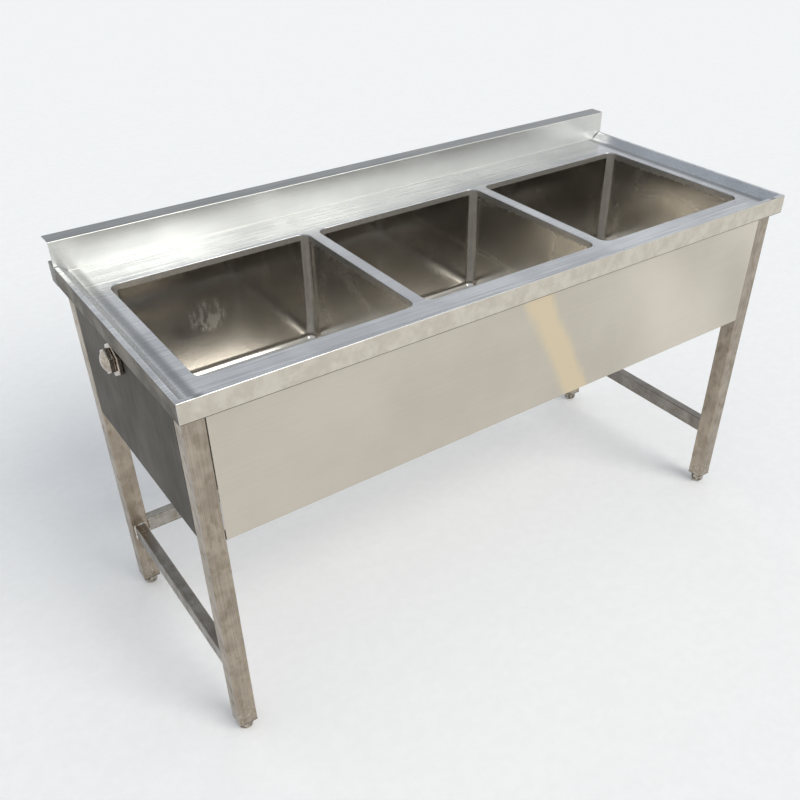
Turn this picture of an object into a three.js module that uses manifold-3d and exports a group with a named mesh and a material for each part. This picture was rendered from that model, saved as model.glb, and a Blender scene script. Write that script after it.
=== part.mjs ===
// Three compartment sink for a restaurant kitchen: a folded stainless top with a raised marine edge,
// three welded basins, a splashback, and a leg frame of square tube with bullet feet.
// Millimetres, +Z up. While it is laid out, x runs from the left end of the top to the right, y from
// its front face to the wall and z from the floor. The group then moves the origin to the floor, under
// the middle of the whole object.
import * as THREE from "three";
import { mergeVertices } from "three/addons/utils/BufferGeometryUtils.js";
import Module from "manifold-3d";

const wasm = await Module();
wasm.setup();

// ---- driving dimensions ----------------------------------------------------------------------
const GAP = 0.3; // left between pieces that touch
const SHEET = 1.5; // top, splashback and channel
const PANEL_SHEET = 1.2; // apron, end panels and basins

const TOP = { width: 1500, depth: 640, rim: 850, deck: 836, hem: 42 };
const MARINE = { flat: 9.5, foot: 27 }; // level strip, and where the inner slope meets the deck
const SPLASH = { face: 600, top: 903, foldedEdge: 10 };
const HEM_RETURN = { side: 9, front: 19 };

const BASIN = { margin: 67, divider: 26, front: 75, back: 490, corner: 22, lip: 14, floor: 578, fillet: 20 };
const BASIN_NAMES = ["left", "middle", "right"];
const RECESS = { radius: 60, depth: 3, hole: 45 };

const TUBE = { side: 40, wall: 1.5, corner: 3 };
const LEG = { insetX: 10, frontY: 20, rearY: 550, bottom: 28, top: 832 };
const BRACE = { width: 25, height: 38, wall: 1.2, corner: 2, bottom: 162 };
const RAIL = { width: 25, height: 25, wall: 1.2, corner: 2, bottom: 806 };

const APRON = { bottom: 530, top: 833, setBack: 0.5, legGap: 1, fold: 19.5, lip: 8 };

const FOOT = { radius: 16, height: 25.4, stud: 6, studTop: 75 };
const INSERT = { flange: 39.4, flangeThickness: 2, body: 36.4, top: 58, bore: 6.3 };

// Waste fittings, as radii and as heights from the basin's floor.
const STRAINER = {
  flange: 57,
  flangeTop: -1,
  mouth: 41,
  seat: 40,
  ledge: -12,
  cup: 37,
  cupOuter: 42,
  shoulder: -44,
  neck: -50,
  step: 1.5,
  spigot: 21,
  spigotOuter: 23,
  end: -75,
};
const BACK_NUT = { bore: 42.4, outside: 54, lug: 59, lugWidth: 10, lugs: 6, thickness: 8, lugThickness: 6 };
const GASKET = { inside: 43, outside: 57, thickness: 3 };
const BASKET = {
  rim: 39.5,
  shoulder: 35,
  foot: 29,
  bottom: -38,
  wall: 1.4,
  post: 4,
  knob: 9,
  top: -2,
  lift: -11,
};
const BASKET_HOLES = { count: 6, radius: 3.5, circle: 17, sides: 8 };
const TAILPIECE = { bore: 18, outside: 19.5, collar: 22.5, collarDepth: 2.2, end: -140 };
const COUPLING = { bore: 20, thread: 23.4, outside: 30, bevel: 3, wall: 2, bottom: -82, web: 4, top: -59 };

const OVERFLOW = { y: 320, z: 775, inner: 12, outer: 15, collar: 22, collarThickness: 4, reach: 20 };
const OVERFLOW_NUT = { flats: 62, capFlats: 46, neck: 19, neckHeight: 3, capTop: 12, socket: 6 };
const ROSETTE = { radius: 24, thickness: 2.5, spigot: 8, wall: 1.7 };
const ROSETTE_SLOT = { length: 16, width: 3, pitch: 6 };

const ROUND = 16; // sides of a turned piece
const ARC = 3; // segments of a rounded corner

// ---- finishes ----------------------------------------------------------------------------------
const steel = (color, roughness) => new THREE.MeshStandardMaterial({ color, roughness, metalness: 1 });
const BRUSHED = steel(0xc9ccd1, 0.35);
const CREAM_STEEL = steel(0xcbc4b5, 0.45);
const BASIN_STEEL = steel(0x8a857c, 0.22);
const TUBE_STEEL = steel(0xa89c8a, 0.38);
const BRIGHT_STEEL = steel(0xd9d9d6, 0.15);
const RUBBER = new THREE.MeshStandardMaterial({ color: 0x222222, roughness: 0.85, metalness: 0 });
const NYLON = new THREE.MeshStandardMaterial({ color: 0x2b2b2b, roughness: 0.6, metalness: 0 });

// ---- solids ------------------------------------------------------------------------------------
function solidOf(geometry) {
  const bare = geometry.index ? geometry.toNonIndexed() : geometry.clone();
  bare.deleteAttribute("normal");
  bare.deleteAttribute("uv");
  const merged = mergeVertices(bare, 1e-4);
  return new wasm.Manifold(
    new wasm.Mesh({
      numProp: 3,
      vertProperties: merged.attributes.position.array,
      triVerts: new Uint32Array(merged.index.array),
    }),
  );
}

function geometryOf(solid) {
  const mesh = solid.getMesh();
  const geometry = new THREE.BufferGeometry();
  geometry.setAttribute("position", new THREE.BufferAttribute(mesh.vertProperties, 3));
  geometry.setIndex(new THREE.BufferAttribute(mesh.triVerts, 1));
  geometry.computeVertexNormals();
  return geometry;
}

// A box between two corners.
function box(x, y, z) {
  const geometry = new THREE.BoxGeometry(x[1] - x[0], y[1] - y[0], z[1] - z[0]);
  geometry.translate((x[0] + x[1]) / 2, (y[0] + y[1]) / 2, (z[0] + z[1]) / 2);
  return solidOf(geometry);
}

// A rectangle with round corners.
function roundedRectangle([x0, x1], [y0, y1], radius) {
  const shape = new THREE.Shape();
  const quarter = Math.PI / 2;
  shape.absarc(x1 - radius, y0 + radius, radius, -quarter, 0);
  shape.absarc(x1 - radius, y1 - radius, radius, 0, quarter);
  shape.absarc(x0 + radius, y1 - radius, radius, quarter, 2 * quarter);
  shape.absarc(x0 + radius, y0 + radius, radius, 2 * quarter, 3 * quarter);
  shape.closePath();
  return shape;
}

// A shape raised from one level to another.
function prismGeometry(shape, z0, z1) {
  const options = { depth: z1 - z0, bevelEnabled: false, curveSegments: ARC };
  return new THREE.ExtrudeGeometry(shape, options).translate(0, 0, z0);
}

const prism = (shape, z0, z1) => solidOf(prismGeometry(shape, z0, z1));

// A tub-shaped block: upright walls, round corners and a round edge along its bottom.
function tub(x, y, z0, z1, corner, fillet) {
  const shape = roundedRectangle(
    [x[0] + fillet, x[1] - fillet],
    [y[0] + fillet, y[1] - fillet],
    corner - fillet,
  );
  const geometry = new THREE.ExtrudeGeometry(shape, {
    depth: z1 - z0,
    bevelThickness: fillet,
    bevelSize: fillet,
    bevelSegments: ARC,
    curveSegments: ARC,
  });
  geometry.translate(0, 0, z0 + fillet);
  const cut = box([x[0] - 1, x[1] + 1], [y[0] - 1, y[1] + 1], [z1, z1 + 3 * fillet]);
  return solidOf(geometry).subtract(cut);
}

// A turned piece from [radius, height] points, with its axis upright.
function turnedGeometry(points, sides = ROUND) {
  const profile = points.map(([radius, height]) => new THREE.Vector2(radius, height));
  const geometry = new THREE.LatheGeometry(profile, sides);
  return geometry.rotateX(Math.PI / 2);
}

const turned = (points, sides) => solidOf(turnedGeometry(points, sides));

// A ring's section, as a closed profile.
const ring = (inner, outer, z0, z1) => [
  [inner, z0],
  [outer, z0],
  [outer, z1],
  [inner, z1],
  [inner, z0],
];

// A plain round bar, upright.
function bar(radius, z0, z1, sides = ROUND) {
  const geometry = new THREE.CylinderGeometry(radius, radius, z1 - z0, sides);
  geometry.rotateX(Math.PI / 2).translate(0, 0, (z0 + z1) / 2);
  return solidOf(geometry);
}

// A hexagonal bar, upright, with a flat facing +X and -X.
function hexagonBar(flats, z0, z1) {
  const geometry = new THREE.CylinderGeometry(flats / Math.sqrt(3), flats / Math.sqrt(3), z1 - z0, 6);
  geometry.rotateX(Math.PI / 2).translate(0, 0, (z0 + z1) / 2);
  return solidOf(geometry);
}

// A hollow tube of round-cornered section, upright, centred on the origin.
function tubeGeometry(width, depth, wall, corner, length) {
  const outer = roundedRectangle([-width / 2, width / 2], [-depth / 2, depth / 2], corner);
  const inner = roundedRectangle(
    [-width / 2 + wall, width / 2 - wall],
    [-depth / 2 + wall, depth / 2 - wall],
    corner - wall / 2,
  );
  outer.holes.push(inner);
  return new THREE.ExtrudeGeometry(outer, { depth: length, bevelEnabled: false, curveSegments: 2 });
}

// ---- the group ---------------------------------------------------------------------------------
const sink = new THREE.Group();
sink.position.set(-TOP.width / 2 + OVERFLOW.reach / 2, -TOP.depth / 2, 0);

function place(name, geometry, material, x = 0, y = 0, z = 0) {
  const mesh = new THREE.Mesh(geometry, material);
  mesh.name = name;
  mesh.position.set(x, y, z);
  sink.add(mesh);
  return mesh;
}

const placeSolid = (name, solid, material, x, y, z) => place(name, geometryOf(solid), material, x, y, z);

// ---- basins' plan ------------------------------------------------------------------------------
const basinWidth = (TOP.width - 2 * BASIN.margin - 2 * BASIN.divider) / 3;

function basinSpan(index) {
  const x0 = BASIN.margin + index * (basinWidth + BASIN.divider);
  return [x0, x0 + basinWidth];
}

const basinDepthSpan = [BASIN.front, BASIN.back];
const grown = (span, by) => [span[0] - by, span[1] + by];

// ---- the folded top ----------------------------------------------------------------------------
// The tray inside the marine edge: level at the bottom, sloping out on the left, right and front.
function tray(drop) {
  const rise = 2 * (TOP.rim - TOP.deck);
  const spread = 2 * (MARINE.foot - MARINE.flat);
  const back = SPLASH.face + 1;
  const geometry = new THREE.BoxGeometry(1, 1, rise);
  const position = geometry.attributes.position;
  for (let i = 0; i < position.count; i += 1) {
    const upper = position.getZ(i) > 0;
    const inset = upper ? MARINE.foot - spread : MARINE.foot;
    const x = position.getX(i) < 0 ? inset : TOP.width - inset;
    const y = position.getY(i) < 0 ? inset : back;
    position.setXYZ(i, x, y, TOP.deck - drop + (upper ? rise : 0));
  }
  return solidOf(geometry);
}

function deckTop() {
  const back = SPLASH.face - GAP;
  const bottom = TOP.rim - TOP.hem;
  const past = back + TUBE.side;
  const outside = box([0, TOP.width], [0, back], [bottom, TOP.rim]).subtract(tray(0));
  const inside = box([SHEET, TOP.width - SHEET], [SHEET, past], [bottom + SHEET, TOP.rim - SHEET]).subtract(
    tray(SHEET),
  );
  const mouth = box(
    [HEM_RETURN.side, TOP.width - HEM_RETURN.side],
    [HEM_RETURN.front, past],
    [bottom - 1, bottom + 2 * SHEET],
  );
  let solid = outside.subtract(inside).subtract(mouth);
  BASIN_NAMES.forEach((_, index) => {
    const span = basinSpan(index);
    const collar = roundedRectangle(grown(span, SHEET), grown(basinDepthSpan, SHEET), BASIN.corner + SHEET);
    solid = solid.add(prism(collar, TOP.deck - BASIN.lip, TOP.deck - SHEET / 2));
  });
  BASIN_NAMES.forEach((_, index) => {
    const hole = roundedRectangle(basinSpan(index), basinDepthSpan, BASIN.corner);
    solid = solid.subtract(prism(hole, bottom - TOP.hem, TOP.rim + 1));
  });
  return solid;
}

placeSolid("deck_top", deckTop(), BRUSHED);

// Splashback: rises from the deck's back edge, turns back at the top and ends in a folded-over edge.
{
  const { face, top, foldedEdge } = SPLASH;
  const section = new THREE.Shape();
  section.moveTo(face, TOP.deck);
  section.lineTo(face, top);
  section.lineTo(TOP.depth, top);
  section.lineTo(TOP.depth, top - 2 * SHEET);
  section.lineTo(TOP.depth - foldedEdge, top - 2 * SHEET);
  section.lineTo(TOP.depth - foldedEdge, top - SHEET);
  section.lineTo(face + SHEET, top - SHEET);
  section.lineTo(face + SHEET, TOP.deck);
  section.closePath();
  const geometry = prismGeometry(section, 0, TOP.width);
  geometry.rotateX(Math.PI / 2).rotateZ(Math.PI / 2);
  place("splashback", geometry, CREAM_STEEL);
}

// Rear channel: an inverted trough with closed ends that carries the hem's line round the back.
{
  const front = SPLASH.face + SHEET + GAP;
  const bottom = TOP.rim - TOP.hem;
  const outside = box([0, TOP.width], [front, TOP.depth], [bottom, TOP.rim]);
  const inside = box(
    [SHEET, TOP.width - SHEET],
    [front + SHEET, TOP.depth - SHEET],
    [bottom - 1, TOP.rim - SHEET],
  );
  placeSolid("rear_channel", outside.subtract(inside), CREAM_STEEL);
}

// ---- basins and their wastes -------------------------------------------------------------------
const seatUnderside = -RECESS.depth - PANEL_SHEET;

function basin(index) {
  const x = basinSpan(index);
  const y = basinDepthSpan;
  const rim = TOP.deck - BASIN.lip - GAP;
  const { floor, corner, fillet } = BASIN;
  const outer = tub(
    grown(x, PANEL_SHEET),
    grown(y, PANEL_SHEET),
    floor - PANEL_SHEET,
    rim,
    corner + PANEL_SHEET,
    fillet + PANEL_SHEET,
  );
  const inner = tub(x, y, floor, rim + 1, corner, fillet);
  const centre = [(x[0] + x[1]) / 2, (y[0] + y[1]) / 2, floor];
  const seat = bar(RECESS.radius + PANEL_SHEET, seatUnderside, -PANEL_SHEET / 2).translate(centre);
  const recess = bar(RECESS.radius, -RECESS.depth, 1).translate(centre);
  const hole = bar(RECESS.hole, -2 * RECESS.radius, 0).translate(centre);
  let solid = outer.add(seat).subtract(inner).subtract(recess).subtract(hole);
  if (index === 0) solid = solid.subtract(acrossLeftEnd(bar(OVERFLOW.outer + 1, -x[0] - 1, 0)));
  return solid;
}

// Turns an upright piece so that its top points out of the left end, at the overflow's place.
function acrossLeftEnd(solid) {
  return solid.rotate([0, -90, 0]).translate([0, OVERFLOW.y, OVERFLOW.z]);
}

// Strainer body: flange on the basin's floor, cup with a ledge for the basket, and an outlet spigot.
function strainerBody() {
  const { flange, flangeTop, mouth, seat, ledge, cup, cupOuter, shoulder, neck, step, spigot } = STRAINER;
  const flangeBottom = GAP - RECESS.depth;
  return turnedGeometry([
    [mouth, flangeTop],
    [seat, ledge + 7],
    [seat, ledge],
    [cup, ledge],
    [cup, shoulder],
    [spigot, neck],
    [spigot, STRAINER.end],
    [STRAINER.spigotOuter, STRAINER.end],
    [STRAINER.spigotOuter, neck - step],
    [cupOuter, shoulder - step],
    [cupOuter, flangeBottom],
    [flange, flangeBottom],
    [flange, flangeTop - 0.6],
    [flange - 2, flangeTop],
    [mouth, flangeTop],
  ]);
}

// Basket: a cup with a rim that sits on the ledge, and a post with a knob to lift it by.
function strainerBasket() {
  const { rim, shoulder, foot, bottom, wall, post, knob, top, lift } = BASKET;
  const seatLevel = STRAINER.ledge + GAP;
  let solid = turned([
    [0, bottom],
    [foot, bottom],
    [shoulder, seatLevel - 1.3],
    [shoulder + 1.5, seatLevel],
    [rim, seatLevel],
    [rim, seatLevel + 1.5],
    [shoulder - 1, seatLevel + 1.5],
    [foot - 1, bottom + wall],
    [post, bottom + wall],
    [post, lift],
    [knob, lift + 3],
    [knob, top - 2],
    [knob - 3, top],
    [0, top],
  ]);
  const drain = bar(BASKET_HOLES.radius, bottom - 1, bottom + wall + 1, BASKET_HOLES.sides);
  for (let i = 0; i < BASKET_HOLES.count; i += 1) {
    const angle = (i / BASKET_HOLES.count) * 2 * Math.PI;
    const x = BASKET_HOLES.circle * Math.cos(angle);
    const y = BASKET_HOLES.circle * Math.sin(angle);
    solid = solid.subtract(drain.translate([x, y, 0]));
  }
  return solid;
}

// Tailpiece: a tube whose collar is held against the spigot's end by the coupling nut.
function tailpiece() {
  const { bore, outside, collar, collarDepth, end } = TAILPIECE;
  const top = STRAINER.end - GAP;
  return turnedGeometry([
    [bore, end],
    [outside, end],
    [outside, top - collarDepth],
    [collar, top - collarDepth],
    [collar, top],
    [bore, top],
    [bore, end],
  ]);
}

function couplingNut() {
  const { bore, thread, outside, bevel, wall, bottom, web, top } = COUPLING;
  return turnedGeometry([
    [bore, bottom],
    [outside - wall, bottom],
    [outside, bottom + bevel],
    [outside, top - bevel],
    [outside - wall, top],
    [thread, top],
    [thread, bottom + web],
    [bore, bottom + web],
    [bore, bottom],
  ]);
}

function backNut() {
  const { bore, outside, lug, lugWidth, lugs, thickness, lugThickness } = BACK_NUT;
  const top = seatUnderside - GASKET.thickness - 2 * GAP;
  const bottom = top - thickness;
  const block = box([outside - 4, lug], [-lugWidth / 2, lugWidth / 2], [bottom, bottom + lugThickness]);
  let solid = turned(ring(bore, outside, bottom, top));
  for (let i = 0; i < lugs; i += 1) {
    solid = solid.add(block.rotate([0, 0, (i * 360) / lugs]));
  }
  return solid;
}

BASIN_NAMES.forEach((name, index) => {
  const x = basinSpan(index);
  const at = [(x[0] + x[1]) / 2, (BASIN.front + BASIN.back) / 2, BASIN.floor];
  const gasketTop = seatUnderside - GAP;
  const gasket = ring(GASKET.inside, GASKET.outside, gasketTop - GASKET.thickness, gasketTop);
  placeSolid(`basin_${name}`, basin(index), BASIN_STEEL);
  place(`strainer_body_${name}`, strainerBody(), BRIGHT_STEEL, ...at);
  place(`strainer_gasket_${name}`, turnedGeometry(gasket), RUBBER, ...at);
  placeSolid(`strainer_back_nut_${name}`, backNut(), BRIGHT_STEEL, ...at);
  placeSolid(`strainer_basket_${name}`, strainerBasket(), BRIGHT_STEEL, ...at);
  place(`coupling_nut_${name}`, couplingNut(), BRIGHT_STEEL, ...at);
  place(`tailpiece_${name}`, tailpiece(), BRIGHT_STEEL, ...at);
});

// ---- apron and end panels ----------------------------------------------------------------------
// A panel's section: an outer face, a fold inwards along the bottom and a short lip upwards.
function panelSection() {
  const section = new THREE.Shape();
  section.moveTo(0, APRON.top);
  section.lineTo(0, APRON.bottom);
  section.lineTo(APRON.fold, APRON.bottom);
  section.lineTo(APRON.fold, APRON.bottom + APRON.lip);
  section.lineTo(APRON.fold - PANEL_SHEET, APRON.bottom + APRON.lip);
  section.lineTo(APRON.fold - PANEL_SHEET, APRON.bottom + PANEL_SHEET);
  section.lineTo(PANEL_SHEET, APRON.bottom + PANEL_SHEET);
  section.lineTo(PANEL_SHEET, APRON.top);
  section.closePath();
  return section;
}

// The panel lies along +Y with its face towards -X.
function panel(length) {
  const geometry = prismGeometry(panelSection(), 0, length);
  return geometry.rotateX(Math.PI / 2).translate(0, length, 0);
}

const legBack = LEG.frontY + TUBE.side;
const legInner = LEG.insetX + TUBE.side;
const endPanelLength = LEG.rearY - legBack - 2 * APRON.legGap;
const apronLength = TOP.width - 2 * (legInner + APRON.legGap);

const panelFace = LEG.insetX + APRON.setBack;

{
  const apron = panel(apronLength).rotateZ(Math.PI / 2).translate(apronLength, 0, 0);
  place("front_apron", apron, CREAM_STEEL, legInner + APRON.legGap, LEG.frontY + APRON.setBack);
  const stubHole = acrossLeftEnd(bar(OVERFLOW.outer + 1, -legInner, 0));
  const leftPanel = solidOf(panel(endPanelLength)).translate([panelFace, legBack + APRON.legGap, 0]);
  placeSolid("left_end_panel", leftPanel.subtract(stubHole), BASIN_STEEL);
  const right = panel(endPanelLength).rotateZ(Math.PI);
  place("right_end_panel", right, BASIN_STEEL, TOP.width - panelFace, LEG.rearY - APRON.legGap);
}

// ---- leg frame ---------------------------------------------------------------------------------
const legCentreX = LEG.insetX + TUBE.side / 2;
const LEGS = [
  ["front_left", legCentreX, LEG.frontY + TUBE.side / 2],
  ["front_right", TOP.width - legCentreX, LEG.frontY + TUBE.side / 2],
  ["rear_left", legCentreX, LEG.rearY + TUBE.side / 2],
  ["rear_right", TOP.width - legCentreX, LEG.rearY + TUBE.side / 2],
];

const FOOT_PROFILE = [
  [0, 0],
  [8, 0],
  [13, 3],
  [FOOT.radius, 10],
  [FOOT.radius, 21],
  [13, FOOT.height],
  [FOOT.stud, FOOT.height],
  [FOOT.stud, FOOT.studTop],
  [0, FOOT.studTop],
];

// Insert: a nylon plug pressed into the tube's end, bored for the foot's stud.
function legInsert() {
  const half = INSERT.flange / 2;
  const body = INSERT.body / 2;
  const bottom = LEG.bottom - GAP - INSERT.flangeThickness;
  const flange = box([-half, half], [-half, half], [bottom, LEG.bottom - GAP]);
  const plug = prism(roundedRectangle([-body, body], [-body, body], TUBE.corner), bottom, INSERT.top);
  return flange.add(plug).subtract(bar(INSERT.bore, 0, INSERT.top + 1));
}

LEGS.forEach(([name, x, y]) => {
  const tube = tubeGeometry(TUBE.side, TUBE.side, TUBE.wall, TUBE.corner, LEG.top - LEG.bottom);
  place(`leg_${name}`, tube, TUBE_STEEL, x, y, LEG.bottom);
  placeSolid(`leg_insert_${name}`, legInsert(), NYLON, x, y, 0);
  place(`foot_${name}`, turnedGeometry(FOOT_PROFILE), TUBE_STEEL, x, y, 0);
});

// A tube laid along Y from the front legs to the rear legs, or along X between two legs.
function alongDepth(name, section, x) {
  const length = LEG.rearY - legBack - 2 * GAP;
  const tube = tubeGeometry(section.width, section.height, section.wall, section.corner, length);
  tube.rotateX(-Math.PI / 2);
  place(name, tube, TUBE_STEEL, x, legBack + GAP, section.bottom + section.height / 2);
}

function alongWidth(name, section, y) {
  const length = TOP.width - 2 * (legInner + GAP);
  const tube = tubeGeometry(section.height, section.width, section.wall, section.corner, length);
  tube.rotateY(Math.PI / 2);
  place(name, tube, TUBE_STEEL, legInner + GAP, y, section.bottom + section.height / 2);
}

alongDepth("left_side_brace", BRACE, legCentreX);
alongDepth("right_side_brace", BRACE, TOP.width - legCentreX);
alongWidth("rear_lower_rail", BRACE, LEG.rearY + TUBE.side / 2);
alongDepth("upper_left_rail", RAIL, legCentreX);
alongDepth("upper_right_rail", RAIL, TOP.width - legCentreX);
alongWidth("upper_front_rail", RAIL, LEG.frontY + TUBE.side / 2);
alongWidth("upper_rear_rail", RAIL, LEG.rearY + TUBE.side / 2);

// ---- overflow fitting on the left end ----------------------------------------------------------
// Heights count outwards from the left end of the top, so pieces inside have negative ones.
const basinWallOutside = PANEL_SHEET - BASIN.margin;

// Pipe: passes through the basin's wall and the end panel, with a collar against the wall's outside.
function overflowPipe() {
  const { inner, outer, collar, collarThickness } = OVERFLOW;
  const start = basinWallOutside - 1;
  const mouth = 2;
  return turned([
    [inner, start],
    [outer, start],
    [outer, basinWallOutside + GAP],
    [collar, basinWallOutside + GAP],
    [collar, basinWallOutside + collarThickness],
    [outer, basinWallOutside + collarThickness],
    [outer, mouth],
    [inner, mouth],
    [inner, start],
  ]);
}

// Rosette: a slotted disc on the basin's wall, with a short spigot inside the pipe.
function overflowRosette() {
  const { radius, thickness, spigot, wall } = ROSETTE;
  const { length, width, pitch } = ROSETTE_SLOT;
  const back = -BASIN.margin - GAP;
  const outside = OVERFLOW.inner - GAP;
  const disc = turned([
    [0, back - thickness],
    [radius - 2, back - thickness],
    [radius, back - thickness + 1],
    [radius, back],
    [outside, back],
    [outside, back + spigot],
    [outside - wall, back + spigot],
    [outside - wall, back - 1],
    [0, back - 1],
  ]);
  const slot = box([-length / 2, length / 2], [-width / 2, width / 2], [back - 2 * thickness, back]);
  return [-pitch, 0, pitch].reduce((solid, y) => solid.subtract(slot.translate([0, y, 0])), disc);
}

function overflowFlangeNut() {
  const bore = bar(OVERFLOW.outer + GAP, -LEG.insetX - 1, 1);
  return hexagonBar(OVERFLOW_NUT.flats, -LEG.insetX + 0.2, -GAP).subtract(bore);
}

function overflowCap() {
  const { capFlats, neck, neckHeight, capTop, socket } = OVERFLOW_NUT;
  const base = bar(neck, 0, neckHeight);
  const head = hexagonBar(capFlats, neckHeight, capTop);
  const dome = turned([
    [0, capTop - 1],
    [capFlats / 2 - 2, capTop - 1],
    [capFlats / 2 - 4, capTop + 3],
    [capFlats / 2 - 10, OVERFLOW.reach - 1.5],
    [0, OVERFLOW.reach],
  ]);
  return base.add(head).add(dome).subtract(bar(OVERFLOW.outer + GAP, -1, socket));
}

placeSolid("overflow_pipe", acrossLeftEnd(overflowPipe()), BRIGHT_STEEL);
placeSolid("overflow_rosette", acrossLeftEnd(overflowRosette()), BRIGHT_STEEL);
placeSolid("overflow_flange_nut", acrossLeftEnd(overflowFlangeNut()), BRIGHT_STEEL);
placeSolid("overflow_cap", acrossLeftEnd(overflowCap()), BRIGHT_STEEL);

export default sink;
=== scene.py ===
"""A three compartment kitchen sink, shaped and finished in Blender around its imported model.

The sink is folded and welded stainless steel: a top with a raised marine edge, three basins, a low
splashback, an apron with end panels, and a frame of square tube on screw feet. Each sub-assembly is a
class that holds its sizes, builds its meshes and dresses them, and each finish is a frozen dataclass.
Lengths are in metres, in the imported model's frame: +X to the right, +Y to the wall, +Z up.
"""

import logging
import math
from collections.abc import Callable, Iterable, Sequence
from dataclasses import dataclass, field
from enum import Enum

import bmesh
import bpy
from bmesh.types import BMEdge, BMesh, BMFace, BMVert
from bpy.types import Material, Node, NodeSocket, NodeTree, Object
from mathutils import Euler, Matrix, Vector


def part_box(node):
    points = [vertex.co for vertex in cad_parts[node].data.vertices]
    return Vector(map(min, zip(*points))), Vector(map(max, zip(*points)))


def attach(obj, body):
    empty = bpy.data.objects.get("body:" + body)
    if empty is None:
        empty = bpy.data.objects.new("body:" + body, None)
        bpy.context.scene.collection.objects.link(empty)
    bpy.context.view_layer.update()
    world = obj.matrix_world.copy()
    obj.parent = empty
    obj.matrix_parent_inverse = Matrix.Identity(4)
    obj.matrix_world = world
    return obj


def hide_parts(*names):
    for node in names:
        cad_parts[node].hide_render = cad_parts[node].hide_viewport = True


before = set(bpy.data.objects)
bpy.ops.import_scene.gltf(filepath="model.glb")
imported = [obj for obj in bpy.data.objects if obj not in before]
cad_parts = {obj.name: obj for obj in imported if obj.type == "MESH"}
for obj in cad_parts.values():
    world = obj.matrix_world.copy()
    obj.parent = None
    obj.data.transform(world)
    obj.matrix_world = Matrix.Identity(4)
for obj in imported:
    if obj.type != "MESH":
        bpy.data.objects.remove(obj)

log = logging.getLogger("sink")
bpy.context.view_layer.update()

SHARP = math.radians(33)  # edges that turn by more than this stay crisp
FOLD = math.radians(20)  # edges that turn by more than this are folds


def mm(value: float) -> float:
    """Millimetres as metres."""
    return value / 1000


class Side(Enum):
    """The two ends of the sink."""

    LEFT = "left"
    RIGHT = "right"


class Slot(Enum):
    """The record's material slots."""

    DECK = "deck_steel"
    CREAM = "cream_steel"
    PANEL = "panel_steel"
    BASIN = "basin_steel"
    TUBE = "tube_steel"
    BRIGHT = "bright_steel"


class Along(Enum):
    """An axis that a tube, a sheet's fold or its grain runs along."""

    X = 0
    Y = 1
    Z = 2


# ---- shader helpers ------------------------------------------------------------------------------


def linear(colour: str) -> tuple[float, float, float, float]:
    """Turns an sRGB hex colour to linear light.

    Args:
        colour: Six hex digits, with or without a leading #.

    Returns:
        Red, green, blue and an alpha of 1.
    """
    digits = colour.lstrip("#")
    values = [int(digits[i : i + 2], 16) / 255 for i in (0, 2, 4)]
    red, green, blue = (v / 12.92 if v <= 0.04045 else ((v + 0.055) / 1.055) ** 2.4 for v in values)
    return red, green, blue, 1.0


SMOOTH = {"interpolation_type": "SMOOTHSTEP"}  # eases both ends of a mapped range, and holds them
COLOUR = {"data_type": "RGBA"}  # makes a mix of colours


def add_node(tree: NodeTree, kind: str, inputs: dict | Sequence = (), **settings: object) -> Node:
    """Adds one node with its settings, values and links.

    Args:
        tree: The node tree that gets the node.
        kind: The node's type, such as ShaderNodeMath.
        inputs: Input name to a value or the socket that feeds it, or such values in the order of the
            inputs that are in use.
        settings: Properties of the node itself.

    Returns:
        The new node.
    """
    node = tree.nodes.new(kind)
    for name, value in settings.items():
        setattr(node, name, value)
    named = isinstance(inputs, dict)
    sockets = node.inputs if named else [socket for socket in node.inputs if socket.enabled]
    for key, value in inputs.items() if named else enumerate(inputs):
        if isinstance(value, NodeSocket):
            tree.links.new(value, sockets[key])
        else:
            sockets[key].default_value = value
    return node


def new_tree(owner: Material | bpy.types.World) -> NodeTree:
    """Gives a material or the world an empty node tree.

    Args:
        owner: The material or world.

    Returns:
        Its node tree, with no nodes in it.
    """
    owner.use_nodes = True
    owner.node_tree.nodes.clear()
    return owner.node_tree


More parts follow.
